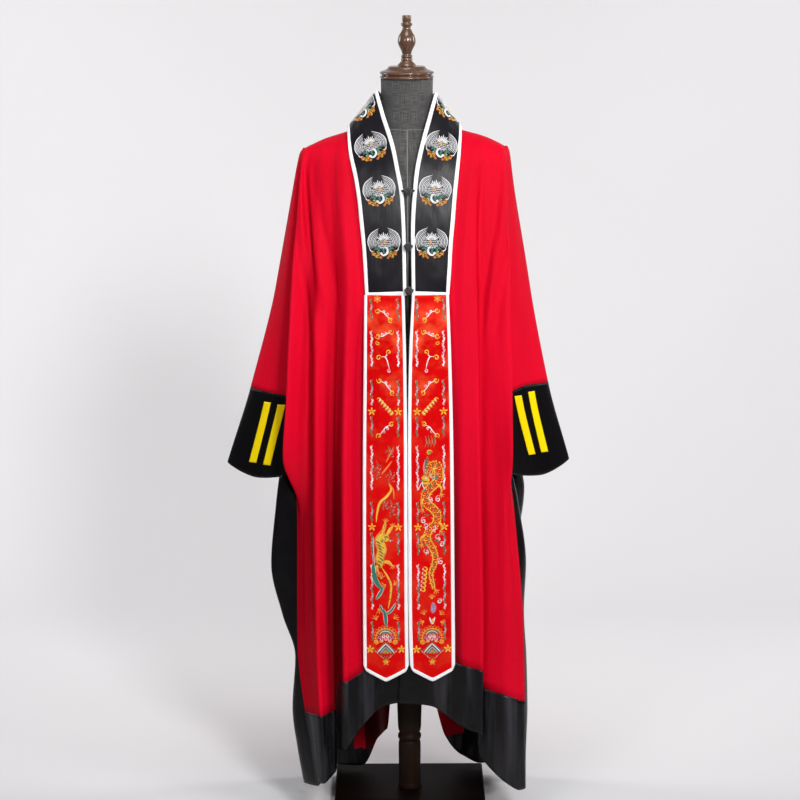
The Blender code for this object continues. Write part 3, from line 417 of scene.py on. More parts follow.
FRONT_LEFT = (
    Fold("front edge", (-108, 0, 1484), ((-102, 0), (-96, 0), (-60, -1), (-20, -3), (-14, -3), (-12, -4),
        (-12, -4), (-22, -4)), 405, 266),
    Fold("behind ribbon", (-114, 0, 1483), ((-108, 0), (-102, 0), (-78, 0), (-62, -1), (-58, -2), (-56, -2),
        (-56, -2), (-58, -2)), 390, 256),
    Fold("beside ribbon", (-120, 0, 1481), ((-124, 0), (-117, 0), (-100, 0), (-102, 0), (-103, 0),
        (-103, 0), (-104, 0), (-106, 0)), 331, 208),
    Fold("first ridge", (-136, 0, 1477), ((-140, 4), (-136, 6), (-127, 17), (-133, 24), (-136, 26),
        (-137, 28), (-139, 30), (-139, 32)), 318, 168),
    Fold("first trough", (-156, 0, 1471), ((-157, 1), (-158, 2), (-157, 2), (-163, 0), (-165, -2),
        (-166, -3), (-167, -3), (-164, -3)), 242, 103),
    Fold("second ridge", (-176, 0, 1464), ((-183, 4), (-190, 8), (-193, 22), (-195, 30), (-195, 32),
        (-196, 32), (-196, 30), (-184, 26)), 240, 90),
    Fold("second trough", (-194, 0, 1456), ((-203, 2), (-212, 4), (-211, 8), (-213, 2), (-216, 6),
        (-216, 14), (-216, 12), (-194, 20)), 240, 87),
    Fold("drape edge", (-208, 0, 1450), ((-218, 6), (-228, 16), (-245, 40), (-257, 54), (-266, 50),
        (-231, 8), (-231, 0), (-200, 14)), 240, 80),
    Fold("outer seam", (-215, 0, 1446), ((-218, -12), (-226, -10), (-234, -10), (-238, -14), (-248, -8),
        (-239, 2), (-241, -4), (-205, 10)), 240, 79),
)
FRONT_RIGHT = (
    Fold("front edge", (102, 0, 1484), ((97, 0), (92, 0), (62, 1), (22, 2), (8, 3), (2, 4), (-16, 6),
        (-34, 6)), 410, 266),
    Fold("behind ribbon", (108, 0, 1483), ((103, 0), (98, 0), (78, 0), (60, 0), (56, 0), (54, 0), (48, 2),
        (42, 2)), 400, 258),
    Fold("beside ribbon", (114, 0, 1481), ((119, 0), (112, 0), (97, 3), (100, 8), (102, 9), (103, 9),
        (106, 9), (108, 9)), 352, 216),
    Fold("soft ridge", (130, 0, 1478), ((133, 3), (127, 5), (118, 10), (119, 15), (121, 16), (123, 17),
        (126, 18), (130, 19)), 347, 206),
    Fold("pleat edge", (150, 0, 1473), ((146, 4), (140, 6), (146, 16), (147, 24), (149, 27), (151, 28),
        (156, 29), (155, 29)), 340, 198),
    Fold("pleat tuck", (162, 0, 1469), ((158, 3), (154, 4), (154, 6), (151, 6), (149, 6), (148, 6),
        (150, 6), (150, 6)), 301, 150),
    Fold("outer ridge", (180, 0, 1462), ((180, 4), (180, 6), (183, 20), (193, 28), (197, 30), (200, 30),
        (208, 30), (212, 26)), 283, 84),
    Fold("drape edge", (198, 0, 1453), ((203, 6), (210, 16), (218, 38), (222, 50), (221, 54), (215, 32),
        (236, 22), (238, 20)), 268, 68),
    Fold("outer seam", (207, 0, 1448), ((208, -12), (211, -8), (207, -8), (204, -18), (211, -8), (225, 14),
        (246, 10), (250, 8)), 262, 68),
)
BACK_LEFT = (
    Fold("centre back", (0, 84, 1474), ((0, 0), (0, 0), (0, 0), (0, 0), (0, 2), (0, 4), (0, 6),
        (0, 6)), 400, 262),
    Fold("first ridge", (-38, 72, 1476), ((-40, 0), (-40, 0), (-42, 4), (-42, 10), (-43, 14), (-44, 18),
        (-48, 20), (-50, 22)), 320, 108),
    Fold("first trough", (-74, 48, 1480), ((-76, 0), (-78, 0), (-80, 0), (-82, -6), (-83, -8), (-84, -8),
        (-86, -10), (-70, -6)), 236, 97),
    Fold("second ridge", (-108, 0, 1484), ((-110, 2), (-112, 2), (-116, 6), (-118, 12), (-120, 14),
        (-121, 14), (-122, 6), (-108, -20)), 190, 38),
    Fold("second trough", (-142, 0, 1475), ((-146, 2), (-150, 2), (-154, 0), (-156, -8), (-157, -10),
        (-157, -12), (-158, -12), (-158, -10)), 176, 36),
    Fold("third ridge", (-176, 0, 1464), ((-182, 4), (-188, 6), (-194, 14), (-197, 22), (-199, 24),
        (-200, 26), (-202, 28), (-200, 26)), 172, 32),
    Fold("outer seam", (-215, 0, 1446), ((-218, -12), (-226, -10), (-234, -6), (-238, -10), (-240, -8),
        (-238, 0), (-232, 2), (-226, 4)), 172, 34),
)
BACK_RIGHT = (
    Fold("centre back", (0, 84, 1474), ((0, 0), (0, 0), (0, 0), (0, 0), (0, 2), (0, 4), (0, 6),
        (0, 6)), 400, 262),
    Fold("first ridge", (36, 73, 1476), ((37, 0), (38, 0), (40, 3), (38, 9), (39, 12), (40, 15), (42, 18),
        (46, 20)), 350, 214),
    Fold("first trough", (70, 50, 1480), ((72, 0), (74, 0), (78, 0), (76, -6), (77, -9), (78, -10),
        (80, -10), (82, -8)), 226, 98),
    Fold("second ridge", (102, 0, 1484), ((105, 2), (108, 2), (112, 8), (114, 14), (116, 16), (117, 18),
        (119, 18), (120, 14)), 190, 48),
    Fold("second trough", (138, 0, 1476), ((141, 2), (144, 2), (148, 0), (150, -6), (152, -9), (153, -10),
        (156, -12), (157, -10)), 176, 38),
    Fold("third ridge", (170, 0, 1466), ((174, 4), (178, 6), (182, 13), (186, 20), (188, 24), (190, 24),
        (196, 26), (198, 24)), 172, 34),
    Fold("outer seam", (207, 0, 1448), ((208, -12), (211, -8), (210, -6), (208, -10), (212, -8), (216, 0),
        (224, 4), (226, 6)), 172, 36),
)

# Where a hem steps up between two fold lines: fold lines from the centre, seam, hem
HEM_STEPS = {
    "front_left": ((3.5, 316, 166), (3.82, 250, 110)),
    "back_left": ((0.76, 345, 216), (0.92, 326, 130)),
}

# Sleeve lines between the two outer seams: across and depth (mm) at the top and at
# each height, then the heights of the seam with the cuff and of the sleeve's mouth
SLEEVE_HEIGHTS = (1.380, 1.150, 0.930, 0.764, 0.650)
SleeveLine = namedtuple("SleeveLine", "name top path seam mouth")
SLEEVE_LEFT = (
    SleeveLine("front face", (-220, -4, 1441), ((-237, -28), (-262, -46), (-292, -46), (-322, -44),
        (-340, -42)), 924, 738),
    SleeveLine("fold along the top", (-223, 0, 1441), ((-240, 0), (-283, 0), (-340, 0), (-393, 0),
        (-428, 0)), 930, 764),
    SleeveLine("back face", (-220, 4, 1441), ((-237, 28), (-262, 44), (-290, 46), (-318, 46),
        (-336, 44)), 924, 744),
)
SLEEVE_RIGHT = (
    SleeveLine("front face", (212, -4, 1442), ((222, -27), (240, -44), (258, -46), (284, -44),
        (300, -42)), 939, 741),
    SleeveLine("fold along the top", (215, 0, 1442), ((225, 0), (262, 0), (304, 0), (350, 0),
        (380, 0)), 938, 768),
    SleeveLine("back face", (212, 4, 1442), ((222, 27), (241, 42), (258, 44), (282, 44),
        (298, 42)), 930, 742),
)
CUFF_SEAM_INNER = 918     # where the two faces of a sleeve meet the robe
MOUTH_INNER = 757

# Side borders, behind the outer seam: across and depth (mm) at each height
BORDER_HEIGHTS = (0.775, 0.690, 0.560, 0.450, 0.360, 0.240, 0.150, 0.060)
BorderLine = namedtuple("BorderLine", "name path hem")
BORDER_FRONT_LEFT = (
    BorderLine("folded edge", ((-273, -116), (-283, -116), (-295, -112), (-272, -112), (-246, -116),
        (-253, -112), (-243, -112), (-228, -112)), 74),
    BorderLine("turned behind", ((-262, -92), (-268, -74), (-272, -72), (-256, -72), (-232, -76),
        (-240, -70), (-232, -68), (-220, -66)), 60),
    BorderLine("cut edge", ((-252, -80), (-238, -56), (-240, -52), (-228, -50), (-208, -52), (-212, -46),
        (-206, -44), (-198, -42)), 50),
)
BORDER_FRONT_RIGHT = (
    BorderLine("folded edge", ((216, -114), (234, -112), (251, -108), (246, -110), (252, -106), (255, -108),
        (250, -110), (240, -108)), 66),
    BorderLine("turned behind", ((214, -92), (230, -74), (238, -70), (232, -70), (238, -72), (240, -70),
        (234, -68), (226, -66)), 76),
    BorderLine("cut edge", ((206, -80), (212, -58), (214, -52), (208, -50), (212, -50), (214, -48),
        (208, -44), (202, -42)), 104),
)
BORDER_BACK_LEFT = (
    BorderLine("folded edge", ((-250, 62), (-258, 60), (-262, 62), (-266, 60), (-240, 60), (-236, 62),
        (-232, 62), (-226, 62)), 34),
    BorderLine("turned forward", ((-243, 40), (-248, 32), (-250, 30), (-252, 28), (-228, 28), (-222, 26),
        (-216, 26), (-210, 26)), 34),
    BorderLine("cut edge", ((-238, 26), (-226, 10), (-224, 6), (-226, 4), (-206, 2), (-198, 0), (-192, 0),
        (-188, 0)), 36),
)
BORDER_BACK_RIGHT = (
    BorderLine("folded edge", ((236, 62), (254, 58), (238, 60), (232, 60), (232, 60), (236, 62), (234, 62),
        (230, 62)), 38),
    BorderLine("turned forward", ((228, 40), (240, 30), (226, 28), (218, 28), (218, 28), (220, 26),
        (218, 26), (214, 26)), 58),
    BorderLine("cut edge", ((220, 26), (216, 8), (204, 4), (198, 2), (196, 2), (196, 0), (194, 0),
        (190, 0)), 96),
)


def drape_depth(across, height, back=False):
    """Depth of the plain drape, before its folds, at a place on the front or the back."""
    reach = read_smooth(DRAPE_HEIGHTS, BACK_REACH if back else FRONT_REACH, height)
    depth = reach - read_smooth(DRAPE_HEIGHTS, DRAPE_ROUNDING, height) * across * across
    return depth if back else -depth


def down_a_line(top, levels, across, depth, heights):
    """Points of a line that rolls over the shoulder at its top and hangs from there."""
    x, y, z = (value / 1000.0 for value in top)
    knots = np.concatenate(([0.0], np.sqrt(z - np.array(levels))))
    at = np.sqrt(np.maximum(z - heights, 0.0))
    return np.stack((read_smooth(knots, np.concatenate(([x], across)), at),
                     read_smooth(knots, np.concatenate(([y], depth)), at), heights), axis=-1)


def fold_line(fold, heights, back=False):
    across, out = np.array(fold.path).T / 1000.0
    depth = drape_depth(across, np.array(HEIGHTS), back) + (out if back else -out)
    return down_a_line(fold.top, HEIGHTS, across, depth, heights)


def sleeve_line(line, heights):
    across, depth = np.array(line.path).T / 1000.0
    return down_a_line(line.top, SLEEVE_HEIGHTS, across, depth, heights)


def border_line(line, heights):
    levels = BORDER_HEIGHTS[::-1]
    across, depth = (read_smooth(levels, values, heights) for values in np.array(line.path)[::-1].T / 1000.0)
    return np.stack((across, depth, heights), axis=-1)


def across_lines(lines, at, places):
    """Points between lines that run down the cloth: at counts the lines, places run down them."""
    last = len(lines) - 1
    index = min(max(int(at), 0), last - 1)
    here, there = lines[index](places), lines[index + 1](places)
    before = lines[index - 1](places) if index > 0 else 2 * here - there
    after = lines[index + 2](places) if index + 2 <= last else 2 * there - here
    return spline(before, here, there, after, at - index)


def panel_column(panel, u, roots):
    """Points down a panel at u fold lines from its centre, by the root of the drop."""
    folds = panel.folds

    def line(fold):
        return lambda places: fold_line(fold, fold.top[2] / 1000.0 - places * places, panel.back)

    def across_the_centre(places):
        if panel.back:
            return line(folds[1])(places) * np.array((-1.0, 1.0, 1.0))
        return 2 * line(folds[0])(places) - line(folds[1])(places)

    def past_the_seam(places):
        """The sleeve above, the side border below."""
        heights = folds[-1].top[2] / 1000.0 - places * places
        above = sleeve_line(panel.sleeve_edge, np.maximum(heights, BORDER_TOP_SEAM))
        below = border_line(panel.border[0], np.minimum(heights, BORDER_TOP_SEAM))
        points = np.where((heights > BORDER_TOP_SEAM)[:, None], above, below)
        points[:, 2] = heights
        return points

    lines = [across_the_centre] + [line(fold) for fold in folds] + [past_the_seam]
    points = across_lines(lines, u + 1, roots)
    edge = across_lines(lines, u + 1, np.zeros(1))[0, 1]
    over_the_top = min(edge, 0.0) if panel.back else max(edge, 0.0)
    points[:, 1] -= over_the_top * np.maximum(1.0 - roots / SHOULDER_ROLL, 0.0)
    return points


def level_at(values, u):
    """Height in metres between lines that each give one in millimetres."""
    return read_smooth(range(len(values)), values, u) / 1000.0


def panel_heights(panel, field, us):
    """Heights of a panel's top, seam or hem at places counted in fold lines."""
    if field == "top":
        return level_at([fold.top[2] for fold in panel.folds], us)
    knots = [(place, fold.seam, fold.hem) for place, fold in enumerate(panel.folds)]
    knots += HEM_STEPS.get(panel.name, ())
    places, seams, hems = zip(*sorted(knots))
    return read_smooth(places, seams if field == "seam" else hems, us) / 1000.0


def normals_of(points):
    """Unit normals of a grid of points, turned away from the middle of the body."""
    down = np.gradient(points, axis=0)
    over = np.gradient(points, axis=1)
    normals = np.cross(over, down)
    normals /= np.maximum(np.linalg.norm(normals, axis=-1, keepdims=True), 1e-9)
    middle = points[:, :, :2].mean(axis=(0, 1))
    outward = (normals[:, :, :2].mean(axis=(0, 1)) * middle).sum()
    return normals if outward > 0 else -normals


def running(steps):
    """The sum of the steps up to each point."""
    return np.concatenate(([0.0], np.cumsum(steps)))


def run_along(line):
    """How far each point lies along a line of points."""
    return running(np.linalg.norm(np.diff(line, axis=0), axis=-1))


def ahead_on(line):
    """The way ahead at each point of a line, of length one."""
    ahead = np.gradient(line, axis=0)
    return ahead / np.maximum(np.linalg.norm(ahead, axis=1, keepdims=True), 1e-9)


def cloth_map(points):
    """Metres across and metres down a grid of points, for the weave to follow."""
    return (running(np.linalg.norm(np.diff(points, axis=1), axis=-1).mean(axis=0)),
            running(np.linalg.norm(np.diff(points, axis=0), axis=-1).mean(axis=1)))


def cloth_area(points):
    over = points[:-1, 1:] - points[:-1, :-1]
    down = points[1:, :-1] - points[:-1, :-1]
    return float(np.linalg.norm(np.cross(over, down), axis=-1).sum())


def cloth_piece(name, points, material, node, thickness=CLOTH, inside=None, shade=None):
    """A thin shell of cloth on a grid of points, with its map. Its inner
    faces take another material where inside gives it, with the column and the height that end it."""
    rows, columns = points.shape[:2]
    made = mesh_piece(name, points.reshape(-1, 3), grid_faces(rows, columns), material)
    across, down = cloth_map(points)
    lay_map(made, across, down[:, None])
    # Painted shade, kept on the points for the cloth's colour to darken by
    if shade is not None:
        made.data.attributes.new("deep_in_fold", "FLOAT", "POINT").data.foreach_set("value", shade.ravel())
    wall = made.modifiers.new("thickness", "SOLIDIFY")
    wall.thickness = thickness
    wall.offset = 0.0
    if inside:
        backing, last_column, lowest = inside
        for extra in (backing, material, material):
            made.data.materials.append(extra)
        wall.material_offset = 1
        for number, face in enumerate(made.data.polygons):
            row, column = divmod(number, columns - 1)
            if column >= last_column or points[row, column, 2] < lowest:
                face.material_index = 2
    in_place_of(made, node)
    area = cloth_area(points)
    return made


def red_finish():
    """Crimson polyester: a fine plain weave and fine ripples, with painted shade that darkens it deep in its
    folds.
    """
    finish = Finish("crimson_cloth", (0.62, 0.0012, 0.018), 0.60, {"Specular IOR Level": 0.045})
    tone = finish.noise(finish.stretched("map", (5.0, 1.6, 1.0)), 1.0, 3.0)
    slub = finish.noise(finish.stretched("map", (260.0, 6.0, 1.0)), 1.0, 2.0)
    cloth = finish.ramp(tone * 0.8 + slub * 0.2, (
        (0.30, (0.52, 0.0008, 0.013)), (0.52, (0.62, 0.0012, 0.018)), (0.75, (0.69, 0.0020, 0.022))))
    # Painted shade: the colour mixes towards a near black red where the points carry shade deep in a fold
    fold_shade_attribute = finish.node("ShaderNodeAttribute", {"attribute_name": "deep_in_fold"})
    deep = Wire(finish, fold_shade_attribute.outputs["Fac"])
    finish.feed("Base Color", finish.mix(deep, cloth, (0.055, 0.0002, 0.0015)))
    finish.feed("Roughness", tone * 0.12 + 0.52)
    ripple = finish.noise(finish.stretched("map", (34.0, 3.2, 1.0)), 1.0, 3.0, 0.55)
    finish.bump(ripple * 6.0 + finish.weave(CLOTH_THREAD) * 0.12 + slub * 0.3, 0.0007, 0.5)
    return finish.material


def press_creases(points, us, creases):
    """Moves a grid of points in or out along its normals by each crease."""
    normals = normals_of(points)
    across, _ = cloth_map(points)
    heights = points[:, :, 2]
    moved = np.zeros(heights.shape)
    for start, upper, end, lower, width, depth in creases:
        share = np.clip((heights - upper) / (lower - upper), 0.0, 1.0)
        bend = np.sin(share * math.pi * 1.3) * CREASE_BEND
        middle = np.interp(start + (end - start) * share + bend, us, across)
        away = (across[None, :] - middle) / (width / 1000.0)
        moved += depth / 1000.0 * np.sin(np.pi * share) ** 0.7 * np.exp(-away * away)
    return points + normals * moved[:, :, None]


def ease(share):
    """A share from 0 to 1 that sets out and arrives slowly."""
    return share * share * (3.0 - 2.0 * share)


def paint_fold_shade(points, us, painted_shades):
    """How much painted shade each point of a panel takes, deep in its folds."""
    heights = points[:, :, 2]
    shade = np.zeros(heights.shape)
    for edge, fade, start, full, depth in painted_shades:
        from_edge = np.clip((us - edge) / EDGE_REACH, 0.0, 1.0)
        to_fade = np.clip((us - fade + FADE_REACH) / FADE_REACH, 0.0, 1.0)
        across = ease(from_edge) * (1.0 - ease(to_fade))
        drop = np.clip((start - heights) / (start - full), 0.0, 1.0)
        shade = np.maximum(shade, depth * across[None, :] * drop)
    return shade


# Painted shade, darkening the colour of cloth that lies deep in a fold, out of the light: the fold
# lines between which it lies (a sharp edge at the first), the heights where it starts and
# where the painted shade is darkest, and how dark it is there
EDGE_REACH = 0.16
FADE_REACH = 0.75
PAINTED_FOLD_SHADES = {
    "front_left": (
        (2.98, 4.58, 1.10, 0.60, 0.88), (5.02, 9.5, 0.86, 0.66, 0.42), (5.15, 6.3, 1.36, 1.10, 0.30),
        (7.2, 8.1, 1.445, 1.25, 0.55), (1.70, 2.28, 1.14, 0.80, 0.55)),
    "front_right": (
        (1.50, 2.62, 1.10, 0.62, 0.74), (4.35, 5.4, 0.95, 0.55, 0.22)),
    "back_left": (
        (1.1, 2.4, 1.05, 0.55, 0.5), (3.1, 4.4, 1.05, 0.55, 0.5)),
    "back_right": (
        (1.1, 2.4, 1.05, 0.55, 0.5), (3.1, 4.4, 1.05, 0.55, 0.5)),
}

# Soft creases pressed into a panel: fold lines from the centre and height at the start and at
# the end, half width and depth in mm, a trough where the depth is below nought
CREASE_BEND = 0.10
CREASES = {
    "front_left": (
        (3.9, 1.22, 3.9, 0.12, 9, -6), (2.06, 1.12, 2.05, 0.36, 8, -5),
        (3, 1.12, 3, 0.20, 7, 3.5), (5, 1.05, 5, 0.12, 8, 3), (7.3, 1.43, 5.7, 1.00, 9, -5),
        (6.5, 1.44, 4.7, 1.04, 9, -5), (5.3, 1.45, 3.5, 1.08, 10, -3.5),
        (6.9, 1.44, 5.2, 1.02, 8, 3.5), (5.9, 1.44, 4.2, 1.06, 8, 3.5), (1.2, 1.30, 2.6, 0.95, 9, 1.6),
        (3.6, 1.44, 2.6, 1.10, 11, 2.4), (5.4, 1.42, 4.4, 1.02, 9, -2.2),
        (6.6, 1.40, 5.9, 0.92, 10, 2.4), (3.4, 1.02, 3.7, 0.52, 8, -1.6), (4.6, 0.86, 4.5, 0.34, 9, 2),
        (2.6, 0.80, 2.4, 0.40, 9, 1.4), (5.6, 0.72, 5.4, 0.30, 8, -1.8), (6.4, 0.66, 6.2, 0.28, 8, 1.6),
        (2.2, 1.16, 2, 0.86, 8, -1.3), (7.3, 1.30, 7.1, 0.90, 7, 1.8), (1.9, 0.60, 2.1, 0.37, 7, -1.2)),
    "front_right": (
        (5, 1.24, 5, 0.16, 10, -8), (1.7, 1.12, 1.7, 0.40, 7, -2.5),
        (4, 1.12, 4, 0.22, 9, 3), (3, 1.26, 3, 0.30, 12, 2.5),
        (7, 1.20, 7, 0.14, 10, -6), (6, 1.02, 6, 0.12, 12, 3),
        (7.4, 1.43, 5.9, 1.03, 9, -5), (6.6, 1.44, 5, 1.08, 9, -4.5),
        (5.4, 1.45, 4, 1.12, 10, -3), (7, 1.44, 5.4, 1.05, 8, 3.5),
        (3.4, 1.45, 2.5, 1.08, 11, 1.9), (5.2, 1.43, 4.1, 1.00, 10, -2.2),
        (6.3, 1.42, 5.2, 0.98, 9, 2.4), (7.1, 1.38, 6.6, 0.90, 9, -2), (2.4, 0.98, 2.7, 0.56, 9, 1.5),
        (5.6, 0.90, 5.7, 0.42, 9, -1.7), (6.3, 0.72, 6.3, 0.30, 10, 2),
        (2.8, 0.72, 2.6, 0.38, 8, -1.4), (1.7, 1.20, 2, 0.90, 8, 1.4), (7, 0.62, 6.9, 0.28, 7, 1.4)),
    "back_left": (
        (0.7, 1.38, 0.6, 0.90, 12, 1.8), (1.6, 1.42, 1.4, 0.86, 11, -1.9),
        (2.6, 1.43, 2.5, 0.80, 10, 2), (3.6, 1.40, 3.4, 0.92, 10, -1.8),
        (4.6, 1.40, 4.5, 0.84, 9, 1.8), (1, 0.82, 1.2, 0.44, 9, 1.6), (2.2, 0.72, 2.1, 0.30, 10, -1.6),
        (3.2, 0.76, 3.3, 0.26, 9, 1.8), (4.3, 0.66, 4.2, 0.22, 9, -1.6), (5.2, 1.20, 5.3, 0.60, 8, 1.5)),
    "back_right": (
        (0.8, 1.36, 0.9, 0.84, 11, -1.8), (1.7, 1.42, 1.8, 0.90, 12, 1.9),
        (2.7, 1.44, 2.6, 0.86, 9, -1.8), (3.5, 1.40, 3.6, 0.78, 11, 2),
        (4.5, 1.38, 4.4, 0.90, 9, -1.6), (0.6, 0.80, 0.7, 0.48, 10, 1.5), (1.6, 0.70, 1.5, 0.34, 9, 1.7),
        (2.9, 0.68, 3, 0.24, 9, -1.7), (4, 0.74, 4.1, 0.22, 10, 1.7), (5.1, 1.10, 5, 0.52, 8, -1.4)),
}

# The body's panels: whether it is a back one, its fold lines, and what it is sewn to at its
# outer seam, the sleeve's line above and the side border below
Panel = namedtuple("Panel", "name back folds sleeve_edge border")
PANELS = (
    Panel("front_left", False, FRONT_LEFT, SLEEVE_LEFT[0], BORDER_FRONT_LEFT),
    Panel("back_left", True, BACK_LEFT, SLEEVE_LEFT[2], BORDER_BACK_LEFT),
    Panel("front_right", False, FRONT_RIGHT, SLEEVE_RIGHT[0], BORDER_FRONT_RIGHT),
    Panel("back_right", True, BACK_RIGHT, SLEEVE_RIGHT[2], BORDER_BACK_RIGHT),
)
BORDER_TOP_SEAM = 0.768
red_cloth = red_finish()


def panel_grid(panel, upper, lower, rows):
    """Points of a panel between two of its heights, its creases pressed into them."""
    us = np.linspace(0.0, len(panel.folds) - 1, PANEL_COLUMNS)
    shares = np.linspace(0.0, 1.0, rows)
    columns = []
    for u, top, start, end in zip(us, *(panel_heights(panel, field, us) for field in ("top", upper, lower))):
        first = math.sqrt(max(top - start, 0.0))
        last = math.sqrt(top - end)
        columns.append(panel_column(panel, u, first + (last - first) * shares))
    return us, press_creases(np.stack(columns, axis=1), us, CREASES[panel.name])


for panel in PANELS:
    us, red = panel_grid(panel, "top", "seam", PANEL_ROWS)
    # Painted shade in each panel's folds
    shade = paint_fold_shade(red, us, PAINTED_FOLD_SHADES[panel.name])
    cloth_piece("robe_" + panel.name, red, red_cloth, panel.name, shade=shade)


# Hem borders: straight bands of black satin sewn along the lower edge of each panel.
HEM_ROWS = 24
SATIN_THREAD = 0.0006
BLACK = (0.0020, 0.0017, 0.0021)


def satin_finish(name, deep, painted_lit, gloss=0.15, tint=(1.0, 1.0, 1.0), painted_sheen=None, patch=(11.0, 15.0, 1.0)):
    """Polyester satin: long floats that shine along the folds, and fine ripples. Its colour carries
    painted sheen, in streaks between the deep colour and a painted lit one, and, where a sheen
    colour is given, patches of painted highlight, strongest at the top of the piece."""
    finish = Finish(name, deep, 0.36, {"Specular IOR Level": gloss, "Specular Tint": (*tint, 1.0),
                                       "Anisotropic": 0.35})
    tone = finish.noise(finish.stretched("map", (9.0, 2.4, 1.0)), 1.0, 3.0)
    # Painted sheen: streaks at random between the deep colour and the painted lit one
    colour = finish.mix(finish.maths("SMOOTH_MIN", tone * 1.1, 1.0, 0.2), deep, painted_lit)
    # Painted highlight: patches of the sheen colour, strongest at the top of the piece
    if painted_sheen:
        patches = finish.noise(finish.stretched("map", patch), 1.0, 3.0, 0.6)
        top = finish.maths("MAXIMUM", 1.0 - finish.along("Y") * 2.6, 0.16)
        lifted = finish.maths("SMOOTH_MAX", (patches - 0.47) * 6.0, 0.0, 0.3)
        colour = finish.mix(finish.maths("SMOOTH_MIN", lifted * top, 0.95, 0.2), colour, painted_sheen)
    finish.feed("Base Color", colour)
    finish.feed("Roughness", tone * 0.22 + 0.17)
    floats = finish.noise(finish.stretched("map", (1500.0, 70.0, 1.0)), 1.0, 2.0)
    ripple = finish.noise(finish.stretched("map", (42.0, 5.0, 1.0)), 1.0, 3.0, 0.55)
    rumple = finish.noise(finish.stretched("map", (13.0, 8.0, 1.0)), 1.0, 2.0)
    lines = finish.ribs("X", SATIN_THREAD)
    finish.bump(rumple * 18.0 + ripple * 5.0 + floats * 0.25 + lines * 0.05, 0.0007, 0.5)
    return finish.material


# Black satins, their lit colour a painted sheen; the hem's also takes painted highlight streaks down its
# folds
black_satin = satin_finish("black_satin", BLACK, (0.0050, 0.0044, 0.0052), 0.13)
hem_satin = satin_finish("hem_satin", BLACK, (0.0062, 0.0056, 0.0064), 0.16, (1.0, 1.0, 1.0),
                         (0.034, 0.032, 0.038), (17.0, 1.7, 1.0))
# The red lining seen inside the back's hems, darkened by painted shade: its last fold line, its
# lowest point, and the fold line up to which it lies in full painted shadow
HEM_LININGS = {"back_left": (3.3, 0.080, 2.8), "back_right": (3.1, 0.104, 0.0)}
# Painted shade on the lining past that fold line, where it catches some light
LINING_PAINTED_SHADE = 0.4        # where it catches some light
for panel in PANELS:
    us, black = panel_grid(panel, "seam", "hem", HEM_ROWS)
    inside = shade = None
    if panel.back:
        last, lowest, painted_shadow_to = HEM_LININGS[panel.name]
        inside = (red_cloth, int(np.searchsorted(us, last)), lowest)
        shade = np.tile(np.where(us < painted_shadow_to, 1.0, LINING_PAINTED_SHADE), (HEM_ROWS, 1))
    border = cloth_piece("hem_border_" + panel.name, black, hem_satin, "hem_" + panel.name,
                         inside=inside, shade=shade)
    if panel.name == "back_right":
        border.data.flip_normals()


# Side borders: the same satin down the open side edges below the sleeves, turned back on
# themselves, so that they fill the gap between the front and the back of the skirts.
SIDE_BORDER_COLUMNS = 48
SIDE_BORDER_ROWS = 80
BORDER_TOPS = (768, 756, 726, 716)

for panel in PANELS:
    lines = [partial(fold_line, fold, back=panel.back) for fold in panel.folds[-2:]]
    lines += [partial(border_line, line) for line in panel.border]
    hems = [panel.folds[-1].hem] + [line.hem for line in panel.border]
    columns = []
    for u in np.linspace(0.0, 3.0, SIDE_BORDER_COLUMNS):
        heights = np.linspace(level_at(BORDER_TOPS, u), level_at(hems, u), SIDE_BORDER_ROWS)
        columns.append(across_lines(lines, u + 1, heights))
    cloth_piece("side_satin_" + panel.name, np.stack(columns, axis=1), black_satin,
                "side_border_" + panel.name)


# Sleeves: the outer widths of the robe, which fall open from the shoulder tips, with a
# deep cuff of black satin that carries short bars of yellow satin tape.
SLEEVE_COLUMNS = 100
SLEEVE_ROWS = 80
SLEEVE_CLOSING = 0.985    # the middle that a sleeve's top closes on, as a share of its fold's place
SLEEVE_CROWDING = 1.6     # rows lie closer together at the shoulder
CUFF_ROWS = 30
BAR_WIDTH = 0.018
BAR_LENGTH = 0.134
BAR_DROPS = {"left": 0.021, "right": 0.015}     # below the seam
BAR_LIFT = 0.0019
BAR_CROWN = 0.0004
BAR_THICKNESS = 0.0008
BAR_ROWS = 40
BAR_COLUMNS = 9
NEARBY = 0.05             # the cloth's width is measured so far to each side, in lines
BAR_PLACES = (("front_1", 1.08, 1.18), ("front_2", 0.60, 0.80),
              ("back_1", 2.92, 2.82), ("back_2", 3.40, 3.20))
# The tape's lighter yellow is painted sheen
yellow_satin = satin_finish("yellow_satin", (0.74, 0.50, 0.002), (0.98, 0.78, 0.003))
